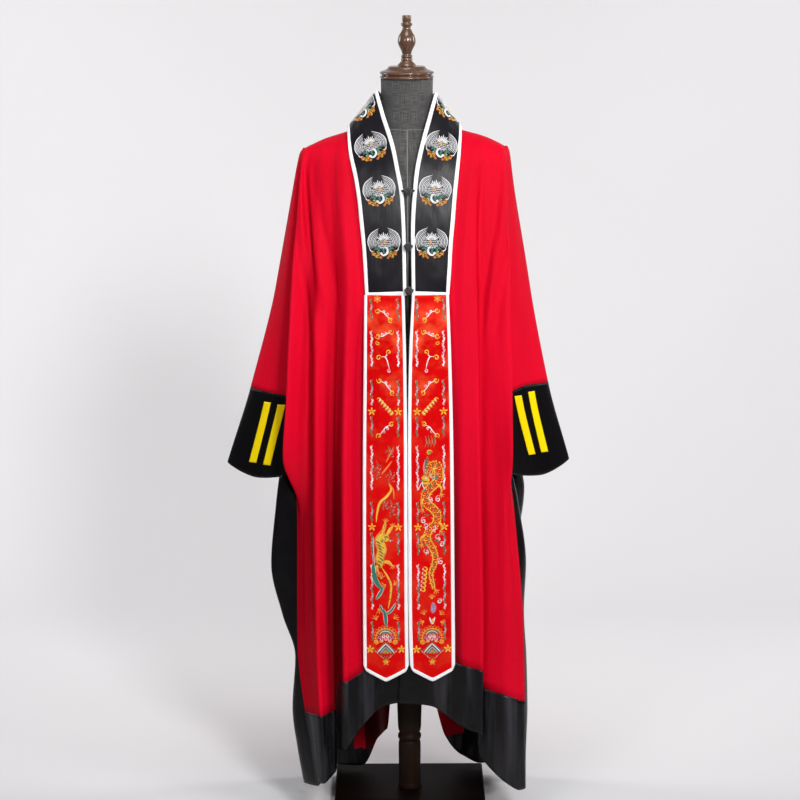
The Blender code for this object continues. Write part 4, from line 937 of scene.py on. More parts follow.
for side, front, sleeve, rear in (("left", FRONT_LEFT, SLEEVE_LEFT, BACK_LEFT),
                                  ("right", FRONT_RIGHT, SLEEVE_RIGHT, BACK_RIGHT)):
    lines = [partial(fold_line, fold) for fold in front[-2:]]
    lines += [partial(sleeve_line, line) for line in sleeve]
    lines += [partial(fold_line, fold, back=True) for fold in (rear[-1], rear[-2])]
    shoulder_tip = front[-1].top[2] / 1000.0
    sleeve_top = sleeve[1].top[2] / 1000.0
    seams = [CUFF_SEAM_INNER] + [line.seam for line in sleeve] + [CUFF_SEAM_INNER]
    mouths = [MOUTH_INNER] + [line.mouth for line in sleeve] + [MOUTH_INNER]
    drops = np.linspace(0.0, 1.0, SLEEVE_ROWS) ** SLEEVE_CROWDING
    red_columns = []
    black_columns = []
    for u in np.linspace(0.0, 4.0, SLEEVE_COLUMNS):
        seam = level_at(seams, u)
        red_columns.append(across_lines(lines, u + 1, shoulder_tip + (seam - shoulder_tip) * drops))
        black_columns.append(across_lines(lines, u + 1, np.linspace(seam, level_at(mouths, u), CUFF_ROWS)))
    red = np.stack(red_columns, axis=1)
    above = np.clip((red[:, :, 2] - sleeve_top) / (shoulder_tip - sleeve_top), 0.0, 1.0)
    narrowing = np.sqrt(1.0 - above ** 2)
    middle = np.array((sleeve[1].top[0] / 1000.0 * SLEEVE_CLOSING, 0.0))
    red[:, :, :2] = middle + (red[:, :, :2] - middle) * narrowing[:, :, None]
    cloth_piece("robe_sleeve_" + side, red, red_cloth, "sleeve_" + side)
    cloth_piece("cuff_satin_" + side, np.stack(black_columns, axis=1), black_satin, "cuff_" + side)
    crown = np.sin(np.linspace(0.0, math.pi, BAR_COLUMNS))[None, :] ** 0.5 * BAR_CROWN
    for label, upper, lower in BAR_PLACES:
        rows = []
        for share in np.linspace(0.0, 1.0, BAR_ROWS):
            u = upper + (lower - upper) * share
            height = np.array([level_at(seams, u) - BAR_DROPS[side] - BAR_LENGTH * share])
            near, far = (across_lines(lines, u + 1 + away, height)[0] for away in (-NEARBY, NEARBY))
            half = BAR_WIDTH / 2 / (np.linalg.norm(far - near) / (2 * NEARBY))
            rows.append([across_lines(lines, place + 1, height)[0]
                         for place in np.linspace(u - half, u + half, BAR_COLUMNS)])
        bar = np.array(rows)
        bar = bar + normals_of(bar) * (BAR_LIFT + crown)[:, :, None]
        cloth_piece("cuff_tape_%s_%s" % (side, label), bar, yellow_satin, "cuff_bar_%s_%s" % (side, label),
                    thickness=BAR_THICKNESS)


# Collar band: a long strip of black satin, interfaced and joined behind the neck, that runs
# down both front edges and is bound all round with white piping.
BAND = 0.0018
PIPING = 0.0034
PIPING_WIDTH = 0.0078
PIPING_RIB = 0.0009
PIPING_SIDES = 14
PIPING_SQUARENESS = 0.7   # 1 is round, less is squarer: across the strip, and over it
PIPING_DOME = 0.8
COLLAR_BOTTOM = 1.148
# Stations of the collar band, from the centre back to its lower end (mm): the inner and the
# outer edge on the left and on the right. A place without a depth lies on the drape.
COLLAR = (
    ("centre back", (0, 62, 1544), (0, 106, 1464), (0, 62, 1544), (0, 106, 1464)),
    ("back of neck", (-26, 58, 1546), (-58, 92, 1468), (26, 58, 1546), (56, 92, 1468)),
    ("behind shoulder", (-51, 37, 1556), (-103, 56, 1477), (49, 37, 1553), (97, 56, 1477)),
    ("top of shoulder", (-63, 2, 1567), (-124, 6, 1491), (60, 2, 1562), (114, 6, 1491)),
    ("front of shoulder", (-61, -33, 1566), (-126, -42, 1481), (58, -33, 1561), (115, -42, 1481)),
    ("neck hollow", (-47, -64, 1520), (-122, None, 1436), (45, -64, 1520), (112, None, 1438)),
    ("upper chest", (-28, None, 1462), (-112, None, 1390), (28, None, 1462), (107, None, 1390)),
    ("chest", (-17, None, 1410), (-105, None, 1344), (17, None, 1414), (103, None, 1350)),
    ("first button", (-9, None, 1366), (-101, None, 1302), (11, None, 1362), (99, None, 1302)),
    ("below first button", (-5, None, 1297), (-96, None, 1252), (7, None, 1300), (94, None, 1250)),
    ("second button", (-4, None, 1241), (-93, None, 1206), (7, None, 1241), (91, None, 1200)),
    ("lower end", (-3, None, 1148), (-90, None, 1148), (8, None, 1148), (87, None, 1148)),
)
COLLAR_ROWS = 170
COLLAR_COLUMNS = 28
BAND_INSET = 0.6          # of the piping's width, where the satin ends under it
FRONT_OF_SHOULDER = 4     # the station from which the band comes onto the drape
ONTO_CHEST = 1.5          # over so many stations
UPPER_CHEST = 6.0         # a station where the band faces forward
COLLAR_LIFT = 0.0040      # middle of the band's wall, in front of the drape


def on_drape(edge):
    """A station's edge point in metres."""
    x, y, z = edge
    if y is None:
        y = float(drape_depth(x / 1000.0, z / 1000.0) - COLLAR_LIFT) * 1000.0
    return (x / 1000.0, y / 1000.0, z / 1000.0)


class Collar:
    """One side of the collar band: u from the opening to the outer edge, v down the stations."""

    def __init__(self, inner_column):
        self.last = len(COLLAR) - 1
        inner = [on_drape(station[inner_column]) for station in COLLAR]
        outer = [on_drape(station[inner_column + 1]) for station in COLLAR]
        self.inner = [(-inner[1][0],) + inner[1][1:]] + inner
        self.outer = [(-outer[1][0],) + outer[1][1:]] + outer

    def at(self, u, v):
        u, v = np.broadcast_arrays(np.asarray(u, float), np.asarray(v, float))
        inner = through(self.inner, v + 1)
        outer = through(self.outer, v + 1)
        flat = inner + (outer - inner) * u[..., None]
        drape = drape_depth(flat[..., 0], flat[..., 2]) - COLLAR_LIFT
        share = np.clip((v - FRONT_OF_SHOULDER) / ONTO_CHEST, 0.0, 1.0)
        flat[..., 1] += (np.minimum(drape, flat[..., 1]) - flat[..., 1]) * share
        return flat

    def normal(self, u, v, step=0.01):
        over = self.at(u + step, v) - self.at(u - step, v)
        down = self.at(u, v + step) - self.at(u, v - step)
        normal = np.cross(over, down)
        normal /= np.linalg.norm(normal, axis=-1, keepdims=True)
        chest = UPPER_CHEST
        middle = self.at(0.5, chest)
        facing = np.cross(self.at(0.6, chest) - middle, self.at(0.5, chest + 0.1) - middle)
        return normal if facing[1] < 0 else -normal


def bound_edge(name, band, line, node):
    """The piping of a band: a domed strip between two lines of places on it, its rounded sides."""
    outer_u, outer_v, inner_u, inner_v = np.array(line).T
    outer, inner = band.at(outer_u, outer_v), band.at(inner_u, inner_v)
    turns = np.linspace(0.0, math.tau, PIPING_SIDES, endpoint=False)
    middle = (outer + inner) / 2
    reach = (inner - outer) / 2
    over = np.sign(np.cos(turns)) * np.abs(np.cos(turns)) ** PIPING_SQUARENESS
    up = np.sign(np.sin(turns)) * np.abs(np.sin(turns)) ** PIPING_DOME
    points = (middle[:, None] + reach[:, None] * over[None, :, None]
              + band.normal(inner_u, inner_v)[:, None] * up[None, :, None] * PIPING / 2)
    made = mesh_piece(name, points.reshape(-1, 3), tube_faces(len(points), len(turns)), white_piping)
    made.data.set_sharp_from_angle(angle=math.radians(60))
    lay_map(made, over * PIPING_WIDTH / 2, run_along(middle)[:, None])
    in_place_of(made, node)


def piping_finish():
    """White binding tape: a ribbed weave across its length, faintly shaded between the ribs."""
    finish = Finish("white_piping", (0.86, 0.84, 0.86), 0.55, {"Sheen Weight": 0.15})
    ribs = finish.ribs("Y", PIPING_RIB)
    soil = finish.noise(finish.stretched("map", (60.0, 30.0, 1.0)), 1.0, 3.0)
    finish.feed("Base Color", finish.mix(soil, (0.80, 0.78, 0.81), (0.92, 0.91, 0.92)))
    finish.bump(ribs * 0.5 + soil, 0.0003, 0.6)
    return finish.material


white_piping = piping_finish()
# The collar's satin is painted lighter than the hem's: a painted sheen, as on a band tilted up to the light
collar_satin = satin_finish("collar_satin", (0.0050, 0.0044, 0.0056), (0.0140, 0.0125, 0.0160))
collars = {"left": Collar(1), "right": Collar(3)}
for side, collar in collars.items():
    last = collar.last
    edge = PIPING_WIDTH / float(np.linalg.norm(collar.at(1.0, last) - collar.at(0.0, last)))
    foot = PIPING_WIDTH / float(np.linalg.norm(collar.at(0.5, last - 1) - collar.at(0.5, last)))
    levels = np.linspace(0.0, last, COLLAR_ROWS)
    inset = edge * BAND_INSET
    satin = collar.at(np.linspace(inset, 1.0 - inset, COLLAR_COLUMNS)[None, :],
                      np.minimum(levels, last - foot * BAND_INSET)[:, None])
    cloth_piece("collar_satin_" + side, satin, collar_satin, "collar_" + side, thickness=BAND)
    within = np.minimum(levels, last - foot)
    line = [(1.0, v, 1.0 - edge, w) for v, w in zip(levels, within)]
    line += [(u, last, u, last - foot) for u in np.linspace(0.92, 0.08, 24)]
    line += [(0.0, v, edge, w) for v, w in zip(levels[::-1], within[::-1])]
    bound_edge("collar_binding_" + side, collar, line, "collar_piping_" + side)


# Ribbons: two long streamers of red satin with pointed ends, bound in the same piping and
# sewn under the lower ends of the collar band, so that they hang clear of the fronts.
# Height, inner side and outer side across (mm)
RIBBON_LEFT = ((1148, -7, -92), (1000, -4, -94), (800, -3, -97), (500, -3, -99), (300, -1, -99))
RIBBON_RIGHT = ((1148, 8, 86), (1000, 1, 91), (800, -2, 95), (500, -2, 97), (300, 2, 98))
RIBBON_TOP = 1.1484
RIBBON_CORNER = 0.342
RIBBON_TIP = 0.316
TIP_ROUNDING = 0.06       # of the ribbon's half width
CORNER_ROUNDING = 0.20
CORNER_RISE = 0.45        # of the point's own rise, added at the very corner
RIBBON_ROWS = 170
RIBBON_COLUMNS = 26
RIBBON_LIFT = 0.0110      # its middle, in front of the drape
RIBBON_START = 0.060      # it swings clear over this drop below the collar
RIBBON_BOW = 0.002
# The ribbons' satin: its orange is painted sheen, in patches strongest at the top of each ribbon
red_satin = satin_finish("ribbon_satin", (0.48, 0.0010, 0.0022), (0.66, 0.0028, 0.0046), 0.26,
                         (1.0, 0.20, 0.08), (0.86, 0.120, 0.040))


class Ribbon:
    """One ribbon: u from the side near the centre to the far side, and the height."""

    def __init__(self, table):
        self.heights, self.near, self.far = np.array(table)[::-1].T / 1000.0

    def at(self, u, height):
        u, height = np.broadcast_arrays(np.asarray(u, float), np.asarray(height, float))
        inner = read_smooth(self.heights, self.near, height)
        outer = read_smooth(self.heights, self.far, height)
        x = inner + (outer - inner) * u
        hang = ease(np.clip((COLLAR_BOTTOM - height) / RIBBON_START, 0.0, 1.0))
        lift = COLLAR_LIFT + (RIBBON_LIFT - COLLAR_LIFT + RIBBON_BOW * np.sin(math.pi * u)) * hang
        return np.stack((x, drape_depth(x, height) - lift, height), axis=-1)

    def normal(self, u, height, step=0.01):
        over = self.at(u + step, height) - self.at(u - step, height)
        down = self.at(u, height - step) - self.at(u, height + step)
        normal = np.cross(over, down)
        normal /= np.linalg.norm(normal, axis=-1, keepdims=True)
        return np.where(normal[..., 1:2] < 0, normal, -normal)


def lower_edge(u, raised=0.0):
    """Height of a ribbon's pointed end at a place across it."""
    off_middle = math.hypot(2.0 * u - 1.0, TIP_ROUNDING) - TIP_ROUNDING
    corner = max(0.0, abs(2.0 * u - 1.0) - 1.0 + CORNER_ROUNDING) / CORNER_ROUNDING
    return RIBBON_TIP + (RIBBON_CORNER - RIBBON_TIP) * (off_middle + CORNER_RISE * corner ** 2.5) + raised


def down_to(foot, shares):
    return RIBBON_TOP + (foot - RIBBON_TOP) * shares


ribbons = {"left": Ribbon(RIBBON_LEFT), "right": Ribbon(RIBBON_RIGHT)}
for side, ribbon in ribbons.items():
    width = float(np.linalg.norm(ribbon.at(1.0, RIBBON_CORNER) - ribbon.at(0.0, RIBBON_CORNER)))
    edge = PIPING_WIDTH / width
    slant = PIPING_WIDTH / math.cos(math.atan2(RIBBON_CORNER - RIBBON_TIP, width / 2))
    us = np.linspace(edge * BAND_INSET, 1.0 - edge * BAND_INSET, RIBBON_COLUMNS)
    shares = np.linspace(0.0, 1.0, RIBBON_ROWS)
    feet = np.array([lower_edge(u, slant * BAND_INSET) for u in us])
    satin = ribbon.at(us[None, :], down_to(feet[None, :], shares[:, None]))
    cloth_piece("ribbon_satin_" + side, satin, red_satin, "ribbon_" + side, thickness=BAND)
    line = [(0.0, down_to(lower_edge(0.0), share), edge, down_to(lower_edge(edge, slant), share))
            for share in shares]
    line += [(u, lower_edge(u), u, lower_edge(u, slant)) for u in np.linspace(0.04, 0.96, 47)]
    line += [(1.0, down_to(lower_edge(1.0), share), 1.0 - edge, down_to(lower_edge(1.0 - edge, slant), share))
             for share in shares[::-1]]
    bound_edge("ribbon_binding_" + side, ribbon, line, "ribbon_piping_" + side)


# Embroidery: satin stitch in bright rayon thread, worked on the satin before it was made up.
# Each stroke is a low ridge, its threads laid side by side across it and drawn in at the ends.
THREAD = 0.00045
STITCH_RISE = 0.00065
LEVELS = 400              # readings down a band
STROKE_STEPS = 3          # from each point of a stroke's path to the next
STROKE_END = 0.12         # how much of its width a stroke keeps at its ends
STROKE_ACROSS = np.array((-1.0, -0.62, 0.0, 0.62, 1.0))
STROKE_HEIGHTS = np.array((-0.3, 0.72, 1.0, 0.72, -0.3))
THREAD_COLOURS = {
    "white": (0.93, 0.93, 0.96), "silver": (0.42, 0.43, 0.48), "pink": (0.93, 0.58, 0.60),
    "lilac": (0.42, 0.24, 0.40), "gold": (0.96, 0.56, 0.02), "orange": (0.92, 0.24, 0.01),
    "jade": (0.005, 0.190, 0.120), "moss": (0.120, 0.160, 0.060), "leaf": (0.20, 0.32, 0.03),
    "ink": (0.020, 0.020, 0.022), "red": (0.55, 0.01, 0.01),
}


def thread_finish(name, colour):
    """Rayon thread: a bright sheen broken into fine threads that lie across the stroke."""
    finish = Finish("thread_" + name, colour, 0.34, {"Sheen Weight": 0.25})
    threads = finish.ribs("Y", THREAD)
    uneven = finish.noise(finish.stretched("map", (150.0, 900.0, 1.0)), 1.0, 2.0)
    dark = tuple(channel * 0.74 for channel in colour)
    finish.feed("Base Color", finish.mix(threads * 0.22 + uneven, dark, colour))
    finish.feed("Roughness", uneven * 0.25 + 0.24)
    finish.bump(threads * 0.6 + uneven, 0.0004, 0.6)
    return finish.material


thread_materials = {name: thread_finish(name, colour) for name, colour in THREAD_COLOURS.items()}


class Needlework:
    """Strokes of thread on one band, drawn in millimetres across it and up from its lower end."""

    def __init__(self, band, lower, upper):
        self.band = band
        self.levels = np.linspace(lower, upper, LEVELS)
        middle = band.at(0.5, self.levels)
        across = band.at(1.0, self.levels) - band.at(0.0, self.levels)
        along = ahead_on(middle)
        climb = (across * along).sum(axis=1)
        square = np.linalg.norm(across - along * climb[:, None], axis=1)
        self.widths = square * np.where(across[:, 0] < 0, -1.0, 1.0)
        self.slants = climb / self.widths
        self.ups = run_along(middle) * 1000.0
        self.places, self.rises, self.maps, self.colours = [], [], [], []
        self.hoop(0.0, 0.0)

    def hoop(self, across, up, hand=1.0, scale=1.0, turn=0.0):
        """Moves the hoop: strokes after this are drawn from here, and mirrored where hand is -1."""
        spin = math.radians(turn)
        self.origin = np.array((across, up))
        self.frame = scale * np.array(((hand * math.cos(spin), math.sin(spin)),
                                       (-hand * math.sin(spin), math.cos(spin))))

    def stroke(self, colour, path, width=1.6, layer=0.0):
        """One stroke along a smooth path, its thread raised by so many layers."""
        steps = STROKE_STEPS * len(path)
        line = through(path, np.linspace(0.0, len(path) - 1, steps))
        ahead = ahead_on(line)
        share = np.linspace(0.0, 1.0, steps)
        fullness = STROKE_END + (1.0 - STROKE_END) * np.sin(math.pi * share) ** 0.55
        beside = np.stack((-ahead[:, 1], ahead[:, 0]), axis=1) * (width / 2 * fullness)[:, None]
        strip = line[:, None] + beside[:, None] * STROKE_ACROSS[None, :, None]
        rise = STITCH_RISE * min(1.0, 0.45 + width / 5.0)
        self.places.append(strip @ self.frame + self.origin)
        self.rises.append(rise * (fullness[:, None] * STROKE_HEIGHTS[None, :] + layer))
        flat = np.broadcast_arrays(width / 2 * STROKE_ACROSS[None, :], run_along(line)[:, None])
        self.maps.append(np.stack(flat, axis=-1) / 1000.0)
        self.colours.append(colour)

    def sewn(self, name):
        """Lays all the strokes on the band as one piece, with a material for each colour."""
        plan = np.concatenate([place.reshape(-1, 2) for place in self.places])
        up = plan[:, 1] - plan[:, 0] * np.interp(plan[:, 1], self.ups, self.slants)
        level = np.interp(up, self.ups, self.levels)
        u = 0.5 + plan[:, 0] / 1000.0 / np.interp(up, self.ups, self.widths)
        rises = np.concatenate([rise.ravel() for rise in self.rises])[:, None]
        points = self.band.at(u, level) + self.band.normal(u, level) * (BAND / 2 + rises)
        faces, slots, used = [], [], sorted(set(self.colours))
        first = 0
        for place, colour in zip(self.places, self.colours):
            rows, columns = place.shape[:2]
            faces += [tuple(first + corner for corner in face) for face in grid_faces(rows, columns)]
            slots += [used.index(colour)] * ((rows - 1) * (columns - 1))
            first += rows * columns
        made = mesh_piece(name, points, faces, thread_materials[used[0]])
        for colour in used[1:]:
            made.data.materials.append(thread_materials[colour])
        made.data.polygons.foreach_set("material_index", np.array(slots, dtype=np.int32))
        maps = np.concatenate([place.reshape(-1, 2) for place in self.maps])
        lay_map(made, maps[:, 0], maps[:, 1])
        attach(made, "root")


def curl(across, up, reach, turns=1.3, start=0.0, hand=1.0):
    """A path that winds in to its middle; start is where it sets out, in degrees."""
    share = np.linspace(0.0, 1.0, int(7 * turns) + 3)
    angle = math.radians(start) + hand * turns * math.tau * share
    radius = reach * (1.0 - 0.78 * share)
    return np.stack((across + radius * np.cos(angle), up + radius * np.sin(angle)), axis=1)


def one_step(angle):
    """A step of one millimetre in a direction, in radians."""
    return np.array((math.cos(angle), math.sin(angle)))


def rays(work, colour, across, up, reach, count=5, width=2.4, near=0.1, first=90.0, spread=360.0, layer=0.0):
    """Strokes that fan out from a place: a star, a flower's petals or a claw."""
    for angle in np.radians(first + spread * np.arange(count) / count):
        way = one_step(angle) * reach
        work.stroke(colour, [way * near + (across, up), way + (across, up)], width, layer)


def crane(work):
    """A crane in a round: wings raised until they nearly meet, the neck curled under the body
    among leaves and flowers."""
    sew = work.stroke
    outermost = np.array(((32.0, -12.0), (36.0, 5.0), (29.5, 22.0), (10.0, 33.5)))
    innermost = np.array(((15.0, -8.0), (20.0, -1.0), (18.5, 8.0), (12.5, 17.0)))
    for hand in (-1.0, 1.0):
        for number, inward in enumerate(np.linspace(0.0, 1.0, 6)):
            feather = (outermost + (innermost - outermost) * inward) * (hand, 1.0)
            sew("white", feather, (2.9, 1.5, 2.1, 1.4, 2.0, 1.4)[number])
        sew("white", ((hand * 33, -9), (hand * 30, -16), (hand * 24, -17)), 2.2, 0.4)
        for number in range(21):
            way = math.radians(158.0 + 8.0 * number) if hand < 0 else math.radians(-138.0 + 8.0 * number)
            near, far = 12.0 + 3.0 * (number % 2), 16.5 + 2.5 * (number % 3)
            barb = ((near * math.cos(way), 3.0 + 0.8 * near * math.sin(way)),
                    (far * math.cos(way + 0.1), 3.0 + 0.8 * far * math.sin(way + 0.1)))
            sew("white" if number % 3 else "silver", barb, 1.1, 0.2)
    for number, angle in enumerate(np.radians(np.linspace(35.0, 145.0, 9))):
        way = one_step(angle)
        reach = 17.0 + 5.0 * math.sin(angle) - 3.0 * (number % 2)
        sew("white", [way * 6 + (0, 3), way * reach + (0, 3)], 2.7, 0.1)
    for row, count in enumerate((6, 7, 6, 5, 4)):
        for place in np.linspace(-1.0, 1.0, count) * 2.2 * (count - 1):
            drop = 8.0 - 4.0 * row
            sew("white", curl(place, drop, 2.3, 0.55, 170.0, 1.0), 1.5, 0.3)
            if round(place + 3.0 * row) % 3 == 0:
                sew("lilac", ((place, drop + 1.0), (place + 0.8, drop - 1.0)), 1.3, 0.6)
    for place, up in ((-6.0, 3.0), (-1.0, 7.5), (3.0, 4.5), (7.0, 2.0), (1.0, 0.0)):
        sew("gold", ((place - 2.4, up), (place + 2.4, up + 0.9)), 2.2, 1.0)
    for place, up in ((-4.0, -3.0), (4.4, -4.5), (8.5, -1.0)):
        sew("pink", ((place - 1.6, up), (place + 1.6, up + 0.6)), 1.8, 1.2)
    for hand in (-1.0, 1.0):
        around = curl(hand * 15.0, -17.0, 7.6, 0.62, 90.0 - 70.0 * hand, hand)
        sew("jade", around, 4.4, 0.8)
        sew("leaf", curl(hand * 15.0, -16.4, 4.6, 0.5, 90.0 - 60.0 * hand, hand), 1.3, 1.2)
        sew("white", curl(hand * 15.0, -18.0, 3.0, 0.9, 90.0, hand), 1.2, 1.0)
    sew("jade", ((-5, -13), (-1, -18), (-3, -23)), 5.2)
    sew("white", ((0, -7), (6.0, -12.0), (7.5, -19), (3.5, -25), (-3, -27), (-7.5, -24)), 5.0, 0.9)
    sew("white", ((-4.5, -26.0), (-9.0, -20.0)), 5.6, 1.0)
    sew("red", ((-9.4, -21.0), (-7.0, -19.0)), 1.8, 1.8)
    sew("ink", ((-9.6, -22.0), (-14.0, -19.0)), 1.2, 1.0)
    flowers = ((13, -28, 4.6), (20, -24, 4.6), (26, -19.5, 4.0), (12, -22.5, 3.2), (8, -32, 3.2),
               (18, -30, 2.8), (25, -25, 2.8))
    for number, (place, up, reach) in enumerate(flowers):
        petals, heart = ("gold", "orange") if number % 2 else ("orange", "gold")
        for hand in (-1.0, 1.0):
            sew(petals, curl(hand * place, up, reach, 1.2, 40.0 * number, hand), 1.4, 0.3)
            sew(heart, ((hand * place - 1, up), (hand * place + 1, up + 1)), 1.8, 0.6)


def chain(work, across, upper, lower, colours):
    """A wavering line of short stitches down a ribbon's edge, one colour after another."""
    count = max(2, round((upper - lower) / 13.0))
    length = (upper - lower) / count
    for step in range(count):
        top = upper - length * step
        sway = 1.5 if step % 2 else -1.5
        work.stroke(colours[step % len(colours)],
                    ((across - sway, top + 2.0), (across + sway, top - length * 0.4),
                     (across - sway * 0.6, top - length * 0.75), (across + sway, top - length)), 4.0)
        work.stroke(colours[(step + 1) % len(colours)],
                    ((across + sway * 2.0, top), (across + sway * 1.4, top - length * 0.55)), 2.2)


def scroll(work, start, end, stem="white", bow=4.0):
    """A cloud scroll: a bowed stem with a gold curl at each end and buds along it."""
    sew = work.stroke
    start, end = np.array(start, float), np.array(end, float)
    away = end - start
    beside = np.array((-away[1], away[0])) / np.linalg.norm(away)
    middle = (start + end) / 2 + beside * bow
    sew(stem, (start, middle - away * 0.12, middle + away * 0.1 - beside * bow * 0.5, end), 2.6)
    for place, hand in ((start, 1.0), (end, -1.0)):
        heading = math.degrees(math.atan2(*(place - middle)[::-1]))
        sew("gold", curl(*place, 6.0, 1.15, heading, hand), 2.3, 0.3)
        sew("orange", curl(*(place + (0.8, -0.8)), 7.2, 0.4, heading + 70 * hand, hand), 1.5)
    for share, colour in ((0.34, "white"), (0.62, "pink")):
        bud = start + away * share + beside * (bow * 0.7 + 2.6)
        sew(colour, curl(*bud, 3.4, 1.1, 250.0), 1.9, 0.2)


def serpent(work, path, widths):
    """A dragon's body: gold edges, scales in three colours across it, and spines on its back."""
    sew = work.stroke
    count = 12 * (len(path) - 1)
    line = through(path, np.linspace(0.0, len(path) - 1, count))
    half = np.interp(np.linspace(0.0, 1.0, count), np.linspace(0.0, 1.0, len(widths)), widths) / 2
    ahead = ahead_on(line)
    beside = np.stack((-ahead[:, 1], ahead[:, 0]), axis=1) * half[:, None]
    for number, place in enumerate(range(1, count - 2, 3)):
        rib, on = beside[place], ahead[place]
        scales = ("orange", "gold", "moss", "orange")[number % 3:]
        for share, colour in zip((0.42, -0.40), scales):
            middle = line[place] + rib * (share + 0.08 * math.sin(2.3 * number))
            sew(colour, (middle - rib * 0.40, middle + on * 2.8, middle + rib * 0.40), 2.3)
        if number % 4 == 1:
            sew("ink", (line[place] - rib * 0.3, line[place] + on * 2.0), 1.6, 0.3)
        for edge in (-1.0, 1.0):
            bank = line[place] + rib * edge
            sew("gold", (bank - on * 2.6, bank + rib * edge * 0.16, bank + on * 2.8), 2.7, 0.4)
        spine = 1.0 if number % 2 else -1.0
        foot = line[place] + rib * 1.05 * spine
        tip = foot + rib / half[place] * spine * (3.6 + 1.8 * math.sin(1.7 * number)) - on * 3.0
        sew(("orange", "moss", "gold")[number % 3], (foot, tip), 2.2)


def tuft(work, across, up, width, height, count=22):
    """A pine's needles: short moss stitches strewn over an oval, no two alike."""
    for step in range(count):
        angle = 2.4 * step
        reach = math.sqrt((step + 0.5) / count)
        place = np.array((across + width * reach * math.cos(angle), up + height * reach * math.sin(angle)))
        way = np.array((math.cos(1.3 * angle), 0.8 + 0.5 * math.sin(angle)))
        work.stroke("silver" if step % 5 == 3 else "moss", (place, place + way * 3.6), 1.7)


def claw(work, across, up, heading, reach=6.5, colour="orange"):
    rays(work, colour, across, up, reach, 4, 2.1, 0.1, heading - 60.0, 160.0, 0.5)
    work.stroke("gold", curl(across, up, 2.6, 1.0, heading), 2.0, 0.6)


def wave_crest(work):
    """The foot of each ribbon: clouds over a mountain of nested chevrons, ringed with surf."""
    sew = work.stroke
    for angle in np.linspace(-30.0, 210.0, 15):
        way = one_step(math.radians(angle)) * (24.5, 24.0)
        hand = 1.0 if angle < 90 else -1.0
        sew("orange", curl(*way, 5.0, 1.2, angle, hand), 1.8)
        sew("gold", curl(*(way * 0.84), 3.0, 0.8, angle + 180, hand), 1.3, 0.3)
    rings = ((19.5, "gold", 2.0), (16.6, "moss", 3.4), (13.2, "white", 1.8), (10.6, "jade", 3.2),
             (7.4, "leaf", 2.2))
    for reach, colour, width in rings:
        arc = [(reach * math.cos(a), 5.0 + reach * 0.8 * math.sin(a))
               for a in np.linspace(0.15, math.pi - 0.15, 7)]
        sew(colour, arc, width)
    buds = ((-14.0, 2.0, "lilac"), (-5.0, 4.0, "white"), (5.0, 4.0, "white"), (14.0, 2.0, "lilac"),
            (-9.5, -3.5, "pink"), (0.0, -2.0, "pink"), (9.5, -3.5, "pink"))
    for place, up, colour in buds:
        sew(colour, curl(place, up, 4.2, 1.1, 90.0, 1.0 if place > 0 else -1.0), 2.3, 0.3)
    for hand in (-1.0, 1.0):
        sew("gold", ((hand * 4, -6), (hand * 9, -9), (hand * 15, -8)), 2.2, 0.4)
        sew("gold", curl(hand * 21.5, -8.0, 5.0, 1.4, 90.0, hand), 2.4)
    for number, colour in enumerate(("moss", "white", "ink", "silver", "jade", "orange", "leaf")):
        top, reach = -9.0 - 3.7 * number, 21.0 - 2.9 * number
        foot = top - reach * 1.12
        for hand in (-1.0, 1.0):
            slope = ((hand * reach, foot), (hand * reach * 0.5, (top + foot) / 2 + 0.5),
                     (hand * -0.7, top + 0.4))
            sew(colour, slope, 3.3, 0.1 * number)
    for hand in (-1.0, 1.0):
        for step in range(7):
            across, up = hand * (26.0 - 3.9 * step), -27.0 - 3.6 * step
            surf = ((across + hand * 1.5, up + 2), (across - hand * 2, up - 2))
            sew(("moss", "silver", "orange")[step % 3], surf, 2.6)
            sew(("ink", "moss")[step % 2], ((across - hand * 3, up + 5), (across - hand * 5, up + 1)), 1.8)
    rays(work, "orange", 0.0, -54.0, 8.5, 5, 3.4)
    rays(work, "gold", 0.0, -54.0, 5.4, 5, 2.2, 0.1, 126.0, 360.0, 0.6)


